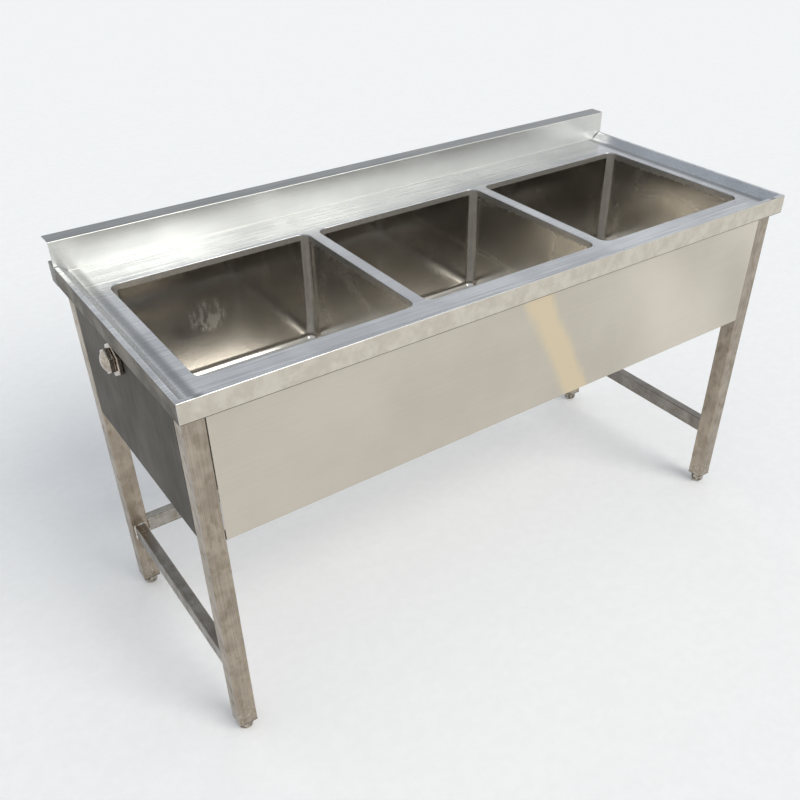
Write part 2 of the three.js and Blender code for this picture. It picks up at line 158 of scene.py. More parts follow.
class Pattern:
    """Masks and spots in one material, all read from the Object coordinates of the piece."""

    def __init__(self, tree: NodeTree) -> None:
        """Starts the patterns of one material.

        Args:
            tree: The material's node tree.
        """
        self.tree = tree
        self.place = add_node(tree, "ShaderNodeTexCoord").outputs["Object"]
        split = add_node(tree, "ShaderNodeSeparateXYZ", {"Vector": self.place})
        self.axis = {along: split.outputs[along.value] for along in Along}

    def add(self, kind: str, *inputs: object, **settings: object) -> NodeSocket:
        """Adds one node to the material.

        Args:
            kind: The node's type, without the ShaderNode in front.
            inputs: A value or a socket for each input that is in use, in order.
            settings: Properties of the node itself.

        Returns:
            The node's first output that is in use.
        """
        node = add_node(self.tree, f"ShaderNode{kind}", inputs, **settings)
        return next(socket for socket in node.outputs if socket.enabled)

    def overlap(self, *masks: NodeSocket | float) -> NodeSocket:
        """Where every one of a few masks is up.

        Args:
            masks: Values of 0 to 1.

        Returns:
            Their product.
        """
        share = masks[0]
        for mask in masks[1:]:
            share = self.add("Math", share, mask, operation="MULTIPLY")
        return share

    def spots(self, size: tuple[float, float, float], detail: float = 3.0, seed: float = 0.0) -> NodeSocket:
        """Soft spots that have a real size on each axis.

        Args:
            size: The spots' size along X, Y and Z, in metres.
            detail: Octaves of finer spots.
            seed: Moves the spots, so that two patterns differ.

        Returns:
            A value of about 0.2 to 0.8.
        """
        scale = Vector([1 / s for s in size])
        moved = self.add("Mapping", self.place, (seed, seed * 1.7, seed * 2.3), (0, 0, 0), scale)
        return self.add("TexNoise", moved, 1.0, detail, 0.55)

    def bands(self, per_metre: float) -> NodeSocket:
        """Soft bands that lean to the right as they run down.

        Args:
            per_metre: How many bands lie side by side in a metre.

        Returns:
            A value of 0 to 1.
        """
        return self.add("TexWave", self.place, per_metre / 2, 2.2, 1.0, 1.5, bands_direction="DIAGONAL")


@dataclass
class Surface:
    """What a finish feeds its shader: base colour, roughness, and height in metres."""

    pattern: Pattern
    colour: NodeSocket
    rough: NodeSocket
    height: NodeSocket

    def paint(self, share: NodeSocket, colour: str, rougher: float = 0.0) -> None:
        """Covers part of the surface with another colour and finish.

        Args:
            share: How much of the new colour shows at each point.
            colour: The new colour.
            rougher: What the cover adds to the roughness.
        """
        add = self.pattern.add
        self.colour = add("Mix", share, self.colour, linear(colour), **COLOUR)
        if rougher:
            self.rough = add("Math", share, rougher, self.rough, operation="MULTIPLY_ADD")


@dataclass(frozen=True)
class Steel:
    """Stainless steel with a grain, cloudy wear and a roughness that follows both.

    The grain is drawn coarser than the real one of about 0.1 mm, so that its lines show in a view of the
    whole sink. Subclasses add what is special to one finish.
    """

    name: str
    light: str
    dark: str
    roughness: tuple[float, float]
    grain: Along = Along.X
    grain_width: float = mm(1.3)
    grain_length: float = mm(160)
    grain_depth: float = mm(0.02)
    grain_contrast: float = 1.2
    cloud: float = mm(120)
    cloudiness: float = 0.4
    seed: float = 0.0

    def build(self) -> Material:
        """Makes the material.

        Returns:
            The finished material.
        """
        material = bpy.data.materials.new(self.name)
        tree = new_tree(material)
        pattern = Pattern(tree)
        add = pattern.add
        lines = self.lines(pattern)
        swing = self.cloudiness / 2
        clouds = pattern.spots((self.cloud,) * 3, 4.0, self.seed + 5)
        clouds = add("MapRange", clouds, 0.3, 0.7, 0.5 - swing, 0.5 + swing, **SMOOTH)
        grain = add("Math", lines, 0.5, operation="SUBTRACT")
        tone = add("Math", grain, self.grain_contrast, clouds, operation="MULTIPLY_ADD")
        colour = add("Mix", add("MapRange", tone, **SMOOTH), linear(self.dark), linear(self.light), **COLOUR)
        smoothest, roughest = self.roughness
        rough = add("MapRange", tone, 0.0, 1.0, roughest, smoothest, **SMOOTH)
        height = add("Math", lines, self.grain_depth, operation="MULTIPLY")
        surface = Surface(pattern, colour, rough, height)
        self.marks(pattern, surface)
        bump = add_node(tree, "ShaderNodeBump", {"Height": surface.height, "Strength": 1.0, "Distance": 1.0})
        looks = {"Base Color": surface.colour, "Metallic": 1.0, "Roughness": surface.rough}
        shader = add_node(tree, "ShaderNodeBsdfPrincipled", {**looks, "Normal": bump.outputs[0]})
        add_node(tree, "ShaderNodeOutputMaterial", {"Surface": shader.outputs[0]})
        return material

    def lines(self, pattern: Pattern) -> NodeSocket:
        """The grain: spots drawn out along one axis.

        Args:
            pattern: The material's patterns.

        Returns:
            A value of about 0.2 to 0.8.
        """
        size = [self.grain_width] * 3
        size[self.grain.value] = self.grain_length
        return pattern.spots(tuple(size), 2.0, self.seed)

    def marks(self, pattern: Pattern, surface: Surface) -> None:
        """Adds what is special to one finish. Plain steel has nothing more."""


@dataclass(frozen=True)
class BrushedTop(Steel):
    """Brushed stainless sheet of the top: long lines across the whole sheet, and a few rust specks.

    The specks sit on the front strip, where wet tools are left lying. A soft dark band of painted shade
    lies along the foot of the slope at both ends.
    """

    rust: str = "#8a4a26"
    speck: float = mm(7)
    front: float = 0.0
    strip: float = mm(60)
    slope_shade: str = "#6f6f70"
    slope_shade_at: tuple[float, float] = (0.0, 0.0)
    slope_shade_width: float = mm(15)

    def marks(self, pattern: Pattern, surface: Surface) -> None:
        """Adds the painted shade beside the slopes, and rust specks in front of the basins.

        Args:
            pattern: The material's patterns.
            surface: What the marks change.
        """
        add = pattern.add
        # Painted shade: a soft dark band along the foot of the slope at each end.
        for place in self.slope_shade_at:
            off = add("Math", pattern.axis[Along.X], place, operation="SUBTRACT")
            off = add("Math", off, operation="ABSOLUTE")
            surface.paint(add("MapRange", off, self.slope_shade_width, mm(2), 0.0, 0.65, **SMOOTH), self.slope_shade)
        specks = add("MapRange", pattern.spots((self.speck,) * 3, 1.0, 40.0), 0.74, 0.8, **SMOOTH)
        crowds = add("MapRange", pattern.spots((mm(150),) * 3, 1.0, 11.0), 0.5, 0.6, **SMOOTH)
        edge = self.front + self.strip
        near = add("MapRange", pattern.axis[Along.Y], edge + mm(30), edge, **SMOOTH)
        surface.paint(pattern.overlap(specks, near, crowds), self.rust, 0.3)


@dataclass(frozen=True)
class MillSheet(Steel):
    """Mill-finish stainless sheet: dull, even and slightly warm.

    It can have a slanting tan water stain with painted sheen beside it, paler bands that stand for light off
    the bulging sheet, and painted shadow from one level down, a thin dark line along the sheet's lower edge.
    """

    sheen: str = "#e9e2d3"
    shadow_line: str = "#4f4a42"
    shadow_line_level: float | None = None
    stain: str | None = None
    stain_top: tuple[float, float] = (0.0, 0.0)
    stain_slope: float = 0.52
    stain_width: float = mm(62)

    def marks(self, pattern: Pattern, surface: Surface) -> None:
        """Adds the painted shadow, the painted sheen bands and the stain, as far as the sheet has them.

        Args:
            pattern: The material's patterns.
            surface: What the marks change.
        """
        add = pattern.add
        if self.shadow_line_level is not None:
            # Painted shadow: the sheet darkens from just above this level down, a thin dark line along its
            # edge.
            edge = self.shadow_line_level + mm(1.6)
            surface.paint(add("MapRange", pattern.axis[Along.Z], edge + mm(1), edge, **SMOOTH), self.shadow_line)
        if self.stain is not None:
            start = self.stain_top[0] + mm(150)
            right = add("MapRange", pattern.axis[Along.X], start, start + mm(270), 0.0, 0.45, **SMOOTH)
            # Painted sheen: paler diagonal bands right of the stain's top, standing for light off the bulging
            # sheet.
            surface.paint(pattern.overlap(pattern.bands(2.6), right), self.sheen)
            surface.paint(self.stain_share(pattern), self.stain)

    def stain_share(self, pattern: Pattern) -> NodeSocket:
        """The stain: a soft, ragged band that leans to the right as it runs down.

        Args:
            pattern: The material's patterns.

        Returns:
            Its share at each point.
        """
        add = pattern.add
        x, top = self.stain_top
        fallen = add("Math", top, pattern.axis[Along.Z], operation="SUBTRACT")
        centre = add("Math", fallen, self.stain_slope, x, operation="MULTIPLY_ADD")
        off = add("Math", pattern.axis[Along.X], centre, operation="SUBTRACT")
        ragged = add("Math", pattern.spots((mm(60), mm(60), mm(140)), 4.0, 3.0), 0.5, operation="SUBTRACT")
        off = add("Math", ragged, mm(40), off, operation="MULTIPLY_ADD")
        off = add("Math", off, operation="ABSOLUTE")
        return add("MapRange", off, self.stain_width * 0.8, self.stain_width * 0.3, 0.0, 0.85, **SMOOTH)


@dataclass(frozen=True)
class SplashSheet(Steel):
    """Bright mill-finish sheet of the splashback, with its narrow top ledge darkened as painted shade."""

    ledge: str = "#83868b"
    ledge_level: float = 0.0

    def marks(self, pattern: Pattern, surface: Surface) -> None:
        """Darkens the ledge, as painted shade.

        Args:
            pattern: The material's patterns.
            surface: What the marks change.
        """
        level = self.ledge_level
        ledge = pattern.add("MapRange", pattern.axis[Along.Z], level, level + mm(0.5), **SMOOTH)
        streaks = pattern.add("MapRange", self.lines(pattern), 0.3, 0.7, 0.55, 1.0, **SMOOTH)
        # Painted shade on the top ledge, broken by the grain.
        surface.paint(pattern.overlap(ledge, streaks), self.ledge)


@dataclass(frozen=True)
class BasinSheet(Steel):
    """Bright rolled stainless sheet of a basin.

    It gives soft, slightly wavy mirror pictures, fine scratches, a ground weld band under the rim, painted
    light that pales the steel towards the floor, painted reflections of curling light lines on the right
    wall, and on one basin a patch of dried water at the rear.
    """

    band: str = "#b9b1a3"
    band_level: float = 0.0
    patch: str = "#cfcdc8"
    patch_centre: tuple[float, float] | None = None
    patch_size: tuple[float, float] = (mm(52), mm(44))
    rear: float = 0.0
    right: float = 0.0
    light_tint: str = "#fffaf1"
    light_depth: tuple[float, float] = (mm(45), mm(235))
    wave: float = mm(90)
    wave_depth: float = mm(0.5)

    def marks(self, pattern: Pattern, surface: Surface) -> None:
        """Adds the sheet's waviness, the weld band, scratches, the painted light and the dried patch.

        Args:
            pattern: The material's patterns.
            surface: What the marks change.
        """
        add = pattern.add
        waves = pattern.spots((self.wave,) * 3, 1.0, self.seed + 21)
        surface.height = add("Math", waves, self.wave_depth, surface.height, operation="MULTIPLY_ADD")
        ragged = pattern.spots((mm(14), mm(14), mm(60)), 4.0, self.seed + 2)
        ragged = add("Math", ragged, 0.5, operation="SUBTRACT")
        level = add("Math", ragged, mm(18), pattern.axis[Along.Z], operation="MULTIPLY_ADD")
        edge = self.band_level
        surface.paint(add("MapRange", level, edge - mm(2), edge + mm(4), 0.0, 0.5, **SMOOTH), self.band, 0.32)
        scratch = pattern.spots((mm(70), mm(1.2), mm(3)), 2.0, self.seed + 9)
        surface.paint(add("MapRange", scratch, 0.68, 0.76, 0.0, 0.35, **SMOOTH), self.patch)
        # Painted light: paler and a little rougher towards the floor and in curls on the right wall.
        surface.paint(self.painted_light(pattern), self.light_tint, 0.16)
        if self.patch_centre is not None:
            surface.paint(self.dried_patch(pattern), self.patch, 0.35)

    def painted_light(self, pattern: Pattern) -> NodeSocket:
        """Painted light: curling lines of reflected light on the right wall, and an even paling towards the
        floor.

        Args:
            pattern: The material's patterns.

        Returns:
            Its share at each point.
        """
        add = pattern.add
        curls = pattern.spots((mm(160), mm(210), mm(120)), 0.0, self.seed + 44)
        curls = add("Math", curls, 0.5, operation="SUBTRACT")
        curls = add("MapRange", add("Math", curls, operation="ABSOLUTE"), 0.1, 0.0, 0.8, 1.0, **SMOOTH)
        wall = add("MapRange", pattern.axis[Along.X], self.right - mm(4), self.right - mm(1), **SMOOTH)
        start, full = (self.band_level - depth for depth in self.light_depth)
        deep = add("MapRange", pattern.axis[Along.Z], start, full, 0.0, 0.6, **SMOOTH)
        return add("Math", pattern.overlap(wall, curls), deep, operation="MAXIMUM")

    def dried_patch(self, pattern: Pattern) -> NodeSocket:
        """A broken, chalky patch where water has dried on the rear wall.

        Args:
            pattern: The material's patterns.

        Returns:
            Its share at each point.
        """
        add = pattern.add
        reach = 0.0
        for along, centre, size in zip((Along.X, Along.Z), self.patch_centre, self.patch_size):
            off = add("Math", pattern.axis[along], centre, operation="SUBTRACT")
            off = add("Math", off, size, operation="DIVIDE")
            reach = add("Math", off, off, reach, operation="MULTIPLY_ADD")
        near = add("MapRange", reach, 1.1, 0.2, **SMOOTH)
        before = add("MapRange", pattern.axis[Along.Y], self.rear - mm(6), self.rear - mm(3), **SMOOTH)
        behind = add("MapRange", pattern.axis[Along.Y], self.rear + mm(0.9), self.rear + mm(0.3), **SMOOTH)
        broken = pattern.spots((mm(12), mm(12), mm(34)), 5.0, 60.0)
        broken = add("MapRange", broken, 0.4, 0.6, 0.1, 0.6, **SMOOTH)
        return pattern.overlap(near, broken, before, behind)


@dataclass(frozen=True)
class TubeSteel(Steel):
    """Polished stainless tube, smeared by hands and hoses, and scuffed bright near the floor."""

    smear: str = "#7d705d"
    scuff: str = "#e6e4df"
    scuff_level: float = mm(90)

    def marks(self, pattern: Pattern, surface: Surface) -> None:
        """Adds smears all over and scuffs low down.

        Args:
            pattern: The material's patterns.
            surface: What the marks change.
        """
        add = pattern.add
        smears = pattern.spots((mm(14), mm(14), mm(26)), 5.0, self.seed + 31)
        surface.paint(add("MapRange", smears, 0.5, 0.68, 0.0, 0.4, **SMOOTH), self.smear, 0.35)
        level = self.scuff_level
        low = add("MapRange", pattern.axis[Along.Z], level, level * 0.4, **SMOOTH)
        scuffs = pattern.spots((mm(5), mm(5), mm(9)), 4.0, self.seed + 17)
        scuffs = add("MapRange", scuffs, 0.52, 0.68, 0.0, 0.5, **SMOOTH)
        surface.paint(pattern.overlap(low, scuffs), self.scuff)


@dataclass(frozen=True)
class WeldMetal(Steel):
    """Stainless weld metal as laid: bright ripples with straw and brown heat tint."""

    tint: str = "#8c6a45"

    def marks(self, pattern: Pattern, surface: Surface) -> None:
        """Adds the heat tint.

        Args:
            pattern: The material's patterns.
            surface: What the marks change.
        """
        tint = pattern.spots((mm(9),) * 3, 3.0, 71.0)
        surface.paint(pattern.add("MapRange", tint, 0.5, 0.66, **SMOOTH), self.tint)


@dataclass(frozen=True)
class Moulded:
    """Moulded plastic or rubber: a dull skin with a fine sparked texture that breaks up its sheen."""

    name: str
    light: str
    dark: str
    roughness: float
    texture: float = mm(1.5)

    def build(self) -> Material:
        """Makes the material.

        Returns:
            The finished material.
        """
        material = bpy.data.materials.new(self.name)
        tree = new_tree(material)
        pattern = Pattern(tree)
        height = pattern.add("Math", pattern.spots((self.texture,) * 3), mm(0.04), operation="MULTIPLY")
        bump = add_node(tree, "ShaderNodeBump", {"Height": height, "Strength": 0.6, "Distance": 1.0})
        dust = pattern.add("MapRange", pattern.spots((mm(25),) * 3, 4.0, 8.0), 0.35, 0.7, **SMOOTH)
        colour = pattern.add("Mix", dust, linear(self.dark), linear(self.light), **COLOUR)
        looks = {"Base Color": colour, "Roughness": self.roughness, "Normal": bump.outputs[0]}
        shader = add_node(tree, "ShaderNodeBsdfPrincipled", looks)
        add_node(tree, "ShaderNodeOutputMaterial", {"Surface": shader.outputs[0]})
        return material


# ---- mesh helpers --------------------------------------------------------------------------------


def edges_in(geometry: Iterable[object]) -> list[BMEdge]:
    """The edges among an operator's results."""
    return [g for g in geometry if isinstance(g, BMEdge)]


def verts_in(geometry: Iterable[object]) -> list[BMVert]:
    """The vertices among an operator's results."""
    return [g for g in geometry if isinstance(g, BMVert)]


def bevel(bm: BMesh, edges: Iterable[BMEdge], radius: float, segments: int = 3) -> None:
    """Rounds edges.

    Args:
        bm: The mesh.
        edges: What to round.
        radius: The fold's radius.
        segments: Facets in the round.
    """
    bmesh.ops.bevel(
        bm,
        geom=list(edges),
        offset=radius,
        offset_type="OFFSET",
        segments=segments,
        profile=0.5,
        affect="EDGES",
        material=-1,
        clamp_overlap=True,
    )


def fold_edges(bm: BMesh, chosen: Callable[[BMEdge], bool] = lambda edge: True) -> list[BMEdge]:
    """Edges where two faces meet at an angle.

    Args:
        bm: The mesh.
        chosen: A further test that an edge has to pass.

    Returns:
        The edges found.
    """
    bm.normal_update()
    return [e for e in bm.edges if len(e.link_faces) == 2 and e.calc_face_angle() > FOLD and chosen(e)]


def block(bm: BMesh, low: Vector, high: Vector) -> list[BMVert]:
    """A box between two corners.

    Args:
        bm: The mesh that gets it.
        low: Lowest corner.
        high: Highest corner.

    Returns:
        Its eight vertices.
    """
    verts = bmesh.ops.create_cube(bm, size=1.0)["verts"]
    bmesh.ops.scale(bm, verts=verts, vec=high - low)
    bmesh.ops.translate(bm, verts=verts, vec=(low + high) / 2)
    return verts


def chain(bm: BMesh, points: Iterable[Vector]) -> list[BMEdge]:
    """A run of edges through a few points, ready to be extruded.

    Args:
        bm: The mesh that gets them.
        points: The points in order.

    Returns:
        The edges.
    """
    verts = [bm.verts.new(p) for p in points]
    return [bm.edges.new(pair) for pair in zip(verts, verts[1:])]


def sweep(bm: BMesh, edges: list[BMEdge], travel: Vector) -> None:
    """Drags a run of edges into a sheet.

    Args:
        bm: The mesh.
        edges: The run.
        travel: How far it goes.
    """
    made = bmesh.ops.extrude_edge_only(bm, edges=edges)["geom"]
    bmesh.ops.translate(bm, verts=verts_in(made), vec=travel)


def thicken(bm: BMesh, thickness: float, outside: Vector | None = None) -> None:
    """Gives an open sheet its thickness, behind the face that shows.

    Args:
        bm: The mesh, one open sheet.
        thickness: The sheet's thickness.
        outside: A point that the first face looks towards, or None where the normals are already right.
    """
    if outside is not None:
        bmesh.ops.recalc_face_normals(bm, faces=bm.faces[:])
        bm.normal_update()
        largest = max(bm.faces, key=BMFace.calc_area)
        if largest.normal.dot(outside - largest.calc_center_median()) < 0:
            bmesh.ops.reverse_faces(bm, faces=bm.faces[:])
    bmesh.ops.solidify(bm, geom=bm.faces[:], thickness=thickness)


def turn(bm: BMesh, profile: list[tuple[float, float]], centre: Vector, steps: int = 64) -> None:
    """Turns a closed or axis-to-axis profile about an upright axis.

    Args:
        bm: The mesh that gets the piece.
        profile: Radius and height pairs. The last point repeats the first on a ring.
        centre: Where the axis stands; heights count from it.
        steps: Sides of the turned piece.
    """
    edges = chain(bm, [centre + Vector((radius, 0, height)) for radius, height in profile])
    verts = {v for e in edges for v in e.verts}
    bmesh.ops.spin(
        bm,
        geom=[*verts, *edges],
        cent=centre,
        axis=(0, 0, 1),
        dvec=(0, 0, 0),
        angle=2 * math.pi,
        steps=steps,
        use_merge=True,
    )
    bmesh.ops.remove_doubles(bm, verts=bm.verts[:], dist=1e-6)
    bmesh.ops.recalc_face_normals(bm, faces=bm.faces[:])


def arc(
    radius: float, height: float, size: float, start: float, end: float, steps: int = 4
) -> list[tuple[float, float]]:
    """Points of a round on a turned profile.

    Args:
        radius: The round's centre, from the axis.
        height: The round's centre, as a height.
        size: The round's radius.
        start: First angle in degrees, from the outward direction.
        end: Last angle in degrees.
        steps: Stretches in the round.

    Returns:
        Radius and height pairs.
    """
    angles = [math.radians(start + (end - start) * i / steps) for i in range(steps + 1)]
    return [(radius + size * math.cos(a), height + size * math.sin(a)) for a in angles]


@dataclass
class Loop:
    """A closed loop of edges that grows a wall by steps.

    The loop is a rectangle with round corners about a core rectangle, or a circle about a point. Each step
    extrudes it to a new distance from the core and a new level.
    """

    bm: BMesh
    edges: list[BMEdge]
    core_low: Vector
    core_high: Vector

    @classmethod
    def rectangle(cls, bm: BMesh, low: Vector, high: Vector, corner: float, spread: float = 0.0) -> "Loop":
        """Starts a loop as a rectangle with round corners.

        Args:
            bm: The mesh that gets it.
            low: Lowest corner of the rectangle, with its level in z.
            high: Highest corner.
            corner: Radius of the round corners.
            spread: How far outside the rectangle the loop starts.

        Returns:
            The loop.
        """
        known = set(bm.edges)
        out = Vector((spread, spread, 0))
        a, b = low - out, high + out
        points = [(a.x, a.y), (b.x, a.y), (b.x, b.y), (a.x, b.y)]
        face = bm.faces.new([bm.verts.new((x, y, low.z)) for x, y in points])
        bmesh.ops.bevel(
            bm,
            geom=face.verts[:],
            offset=corner + spread,
            offset_type="OFFSET",
            segments=10,
            profile=0.5,
            affect="VERTICES",
            material=-1,
        )
        edges = [e for e in bm.edges if e not in known]
        bmesh.ops.delete(bm, geom=list({f for e in edges for f in e.link_faces}), context="FACES_ONLY")
        inward = Vector((corner, corner, 0))
        return cls(bm, edges, low + inward, high - inward)

    @classmethod
    def circle(cls, bm: BMesh, centre: Vector, radius: float, steps: int = 64) -> "Loop":
        """Starts a loop as a circle.

        Args:
            bm: The mesh that gets it.
            centre: The circle's centre.
            radius: The circle's radius.
            steps: Its sides.

        Returns:
            The loop.
        """
        made = bmesh.ops.create_circle(
            bm, cap_ends=False, radius=radius, segments=steps, matrix=Matrix.Translation(centre)
        )
        verts = set(made["verts"])
        return cls(bm, [e for e in bm.edges if set(e.verts) <= verts], centre, centre)

    def step(self, distance: float, level: float, material: int = 0) -> None:
        """Grows the wall by one ring of faces.

        Args:
            distance: The new loop's distance from the core.
            level: The new loop's height.
            material: Which of the piece's finishes the ring has.
        """
        made = bmesh.ops.extrude_edge_only(self.bm, edges=self.edges)["geom"]
        verts = set(verts_in(made))
        for v in verts:
            core = Vector(
                (
                    min(max(v.co.x, self.core_low.x), self.core_high.x),
                    min(max(v.co.y, self.core_low.y), self.core_high.y),
                )
            )
            out = (v.co.xy - core).normalized() * distance
            v.co = Vector((core.x + out.x, core.y + out.y, level))
        for face in (g for g in made if isinstance(g, BMFace)):
            face.material_index = material
        self.edges = [e for e in edges_in(made) if set(e.verts) <= verts]


@dataclass(frozen=True)
class Part:
    """What a finished mesh is called, what it stands for and what it moves with."""

    name: str
    nodes: tuple[str, ...]
    slot: Slot
    body: str = "frame"


def finish_piece(bm: BMesh, part: Part, *materials: Material) -> Object:
    """Turns a mesh into a finished piece that stands for its nodes.

    Args:
        bm: The mesh, which is used up.
        part: The piece's name, nodes, slot and body.
        materials: Its finishes; faces use the first unless they say otherwise.

    Returns:
        The piece.
    """
    bm.normal_update()
    for face in bm.faces:
        face.smooth = True
    for edge in bm.edges:
        edge.smooth = len(edge.link_faces) == 2 and edge.calc_face_angle() < SHARP
    mesh = bpy.data.meshes.new(part.name)
    bm.to_mesh(mesh)
    bm.free()
    piece = bpy.data.objects.new(part.name, mesh)
    bpy.context.scene.collection.objects.link(piece)
    for material in materials:
        mesh.materials.append(material)
    shading = piece.modifiers.new("even_shading", "WEIGHTED_NORMAL")
    shading.keep_sharp = True
    if part.nodes:
        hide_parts(*part.nodes)
    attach(piece, part.body)
    log.info("%s: %d faces", part.name, len(mesh.polygons))
    return piece


def refinish(node: str, material: Material) -> None:
    """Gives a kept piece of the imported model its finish.

    Args:
        node: The piece's name.
        material: The finish.
    """
    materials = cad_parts[node].data.materials
    materials.clear()
    materials.append(material)
    log.info("%s: kept, with finish %s", node, material.name)


# ---- finishes ------------------------------------------------------------------------------------


@dataclass
class Finishes:
    """Every finish of the sink, made once."""

    rim: float
    front: float
    ends: tuple[float, float]
    hem_height: float = mm(42)
    splash_height: float = mm(52.2)
    top: Material = field(init=False)
    hem: Material = field(init=False)
    splash: Material = field(init=False)
    apron: Material = field(init=False)
    side_hem: Material = field(init=False)
    panel: Material = field(init=False)
    channel: Material = field(init=False)
    basins: dict[str, Material] = field(init=False)
    ground: Material = field(init=False)
    feet: Material = field(init=False)
    legs: Material = field(init=False)
    braces: Material = field(init=False)
    rails: Material = field(init=False)
    bright: Material = field(init=False)
    fitting: Material = field(init=False)
    weld: Material = field(init=False)
    nylon: Material = field(init=False)
    rubber: Material = field(init=False)

    def __post_init__(self) -> None:
        """Makes the materials."""
        # Cool grey lines across the whole sheet, which break the light into long streaks.
        self.top = BrushedTop(
            "brushed_stainless_top",
            "#dbdde0",
            "#b3b5b9",
            (0.22, 0.36),
            grain_width=mm(2.2),
            grain_length=mm(240),
            grain_contrast=2.4,
            cloudiness=0.35,
            front=self.front,
            # Painted shade along the foot of the slope at both ends.
            slope_shade_at=(self.ends[0] + mm(38), self.ends[1] - mm(42)),
        ).build()
        # Warm, cloudy and dull, with a painted shadow: a dark line along its lower edge.
        self.hem = MillSheet(
            "mill_stainless_hem",
            "#d6cfc2",
            "#c4bdb0",
            (0.36, 0.5),
            grain_contrast=0.4,
            cloud=mm(24),
            cloudiness=0.6,
            seed=9.0,
            shadow_line_level=self.rim - self.hem_height,
        ).build()
        # Bright, with a soft, wide shine under a top ledge darkened as painted shade.
        self.splash = SplashSheet(
            "mill_stainless_splash",
            "#d9d9d4",
            "#c5c5c0",
            (0.32, 0.42),
            grain_contrast=0.5,
            cloud=mm(240),
            ledge_level=self.rim + self.splash_height,
        ).build()
        # Even and creamy, with one tan stain where water has run down, and painted sheen beside it.
        self.apron = MillSheet(
            "mill_stainless_apron",
            "#cfc8bb",
            "#c1baad",
            (0.4, 0.5),
            grain_contrast=0.5,
            cloud=mm(260),
            stain="#ddcdae",
            stain_top=(mm(18), mm(798)),
        ).build()
        # Darker as painted shade, and patchy, with the same painted shadow line.
        self.side_hem = MillSheet(
            "shaded_stainless_side_hem",
            "#857f76",
            "#635e57",
            (0.5, 0.62),
            cloud=mm(60),
            cloudiness=0.7,
            seed=3.0,
            shadow_line="#191816",
            shadow_line_level=self.rim - self.hem_height,
        ).build()
        # Dark as painted shade, and almost matt, with a faint upright grain.
        self.panel = MillSheet(
            "shaded_stainless_end_panel",
            "#67635d",
            "#504d47",
            (0.55, 0.68),
            grain=Along.Z,
            cloud=mm(150),
            cloudiness=0.4,
            seed=3.0,
        ).build()
        # Dull grey and patchy, as a sheet that nobody polishes.
        self.channel = MillSheet(
            "dull_stainless_channel",
            "#8d8b86",
            "#64625d",
            (0.32, 0.46),
            cloud=mm(50),
            cloudiness=0.7,
            seed=5.0,
        ).build()
        # Brownish, smeared and streaked lengthwise.
        self.legs = TubeSteel(
            "polished_stainless_leg", "#b7ab9c", "#8f8577", (0.26, 0.38), grain=Along.Z, cloud=mm(45)
        ).build()
        # Scratched bright in spots and dark with dirt between them.
        self.feet = TubeSteel(
            "scuffed_stainless_foot",
            "#c2b9ab",
            "#5f584f",
            (0.16, 0.34),
            grain=Along.Z,
            cloud=mm(9),
            cloudiness=1.0,
            smear="#3f3a34",
        ).build()
        # Grey, smeared and streaked from front to back.
        self.braces = TubeSteel(
            "polished_stainless_brace", "#9f9a94", "#77716b", (0.24, 0.36), grain=Along.Y, cloud=mm(45)
        ).build()
        # A little paler than the braces, streaked from left to right.
        self.rails = TubeSteel(
            "polished_stainless_rail", "#b1ada6", "#908b83", (0.24, 0.36), cloud=mm(45)
        ).build()
        # Mirror bright, with warm, cloudy tarnish.
        self.fitting = Steel(
            "tarnished_bright_fitting", "#cdc3b6", "#8f8477", (0.04, 0.12), grain_width=mm(3), cloud=mm(14)
        ).build()
        # Bright, with fine tool marks.
        self.bright = Steel(
            "turned_stainless_fitting", "#dedcd8", "#bdb9b2", (0.1, 0.2), grain_width=mm(2), cloud=mm(20)
        ).build()
        # Pale and satin, where the basins' corner welds are ground flush.
        self.ground = Steel(
            "ground_stainless_corner", "#f0eeea", "#d6d3cd", (0.3, 0.42), grain=Along.Z, cloud=mm(20)
        ).build()
        # Small bright beads, tinted straw and brown.
        self.weld = WeldMetal(
            "stainless_weld_metal", "#f6f4f0", "#d2ccc2", (0.25, 0.45), cloud=mm(6)
        ).build()
        # Dark and dull, a little greasy in its shine.
        self.nylon = Moulded("moulded_nylon_plug", "#3a3a3a", "#232323", 0.55).build()
        # Near black, with no shine.
        self.rubber = Moulded("moulded_rubber_gasket", "#2a2a2a", "#191919", 0.8).build()
        self.basins = {}

    def basin(self, name: str, right: float, rear: float, patch: tuple[float, float] | None) -> Material:
        """The sheet of one basin.

        Args:
            name: Which basin.
            right: Where its right wall stands.
            rear: Where its rear wall stands.
            patch: Middle of a dried patch on that wall, as x and z, or None.

        Returns:
            The material.
        """
        seed = 13.0 * (len(self.basins) + 1)
        self.basins[name] = BasinSheet(
            f"bright_stainless_basin_{name}",
            "#999692",
            "#7d7a76",
            (0.07, 0.15),
            grain=Along.X,
            grain_depth=mm(0.004),
            grain_contrast=0.8,
            seed=seed,
            band_level=self.rim - mm(30),
            patch_centre=patch,
            rear=rear,
            right=right,
        ).build()
        return self.basins[name]


# ---- the folded top and the sheets round it ------------------------------------------------------


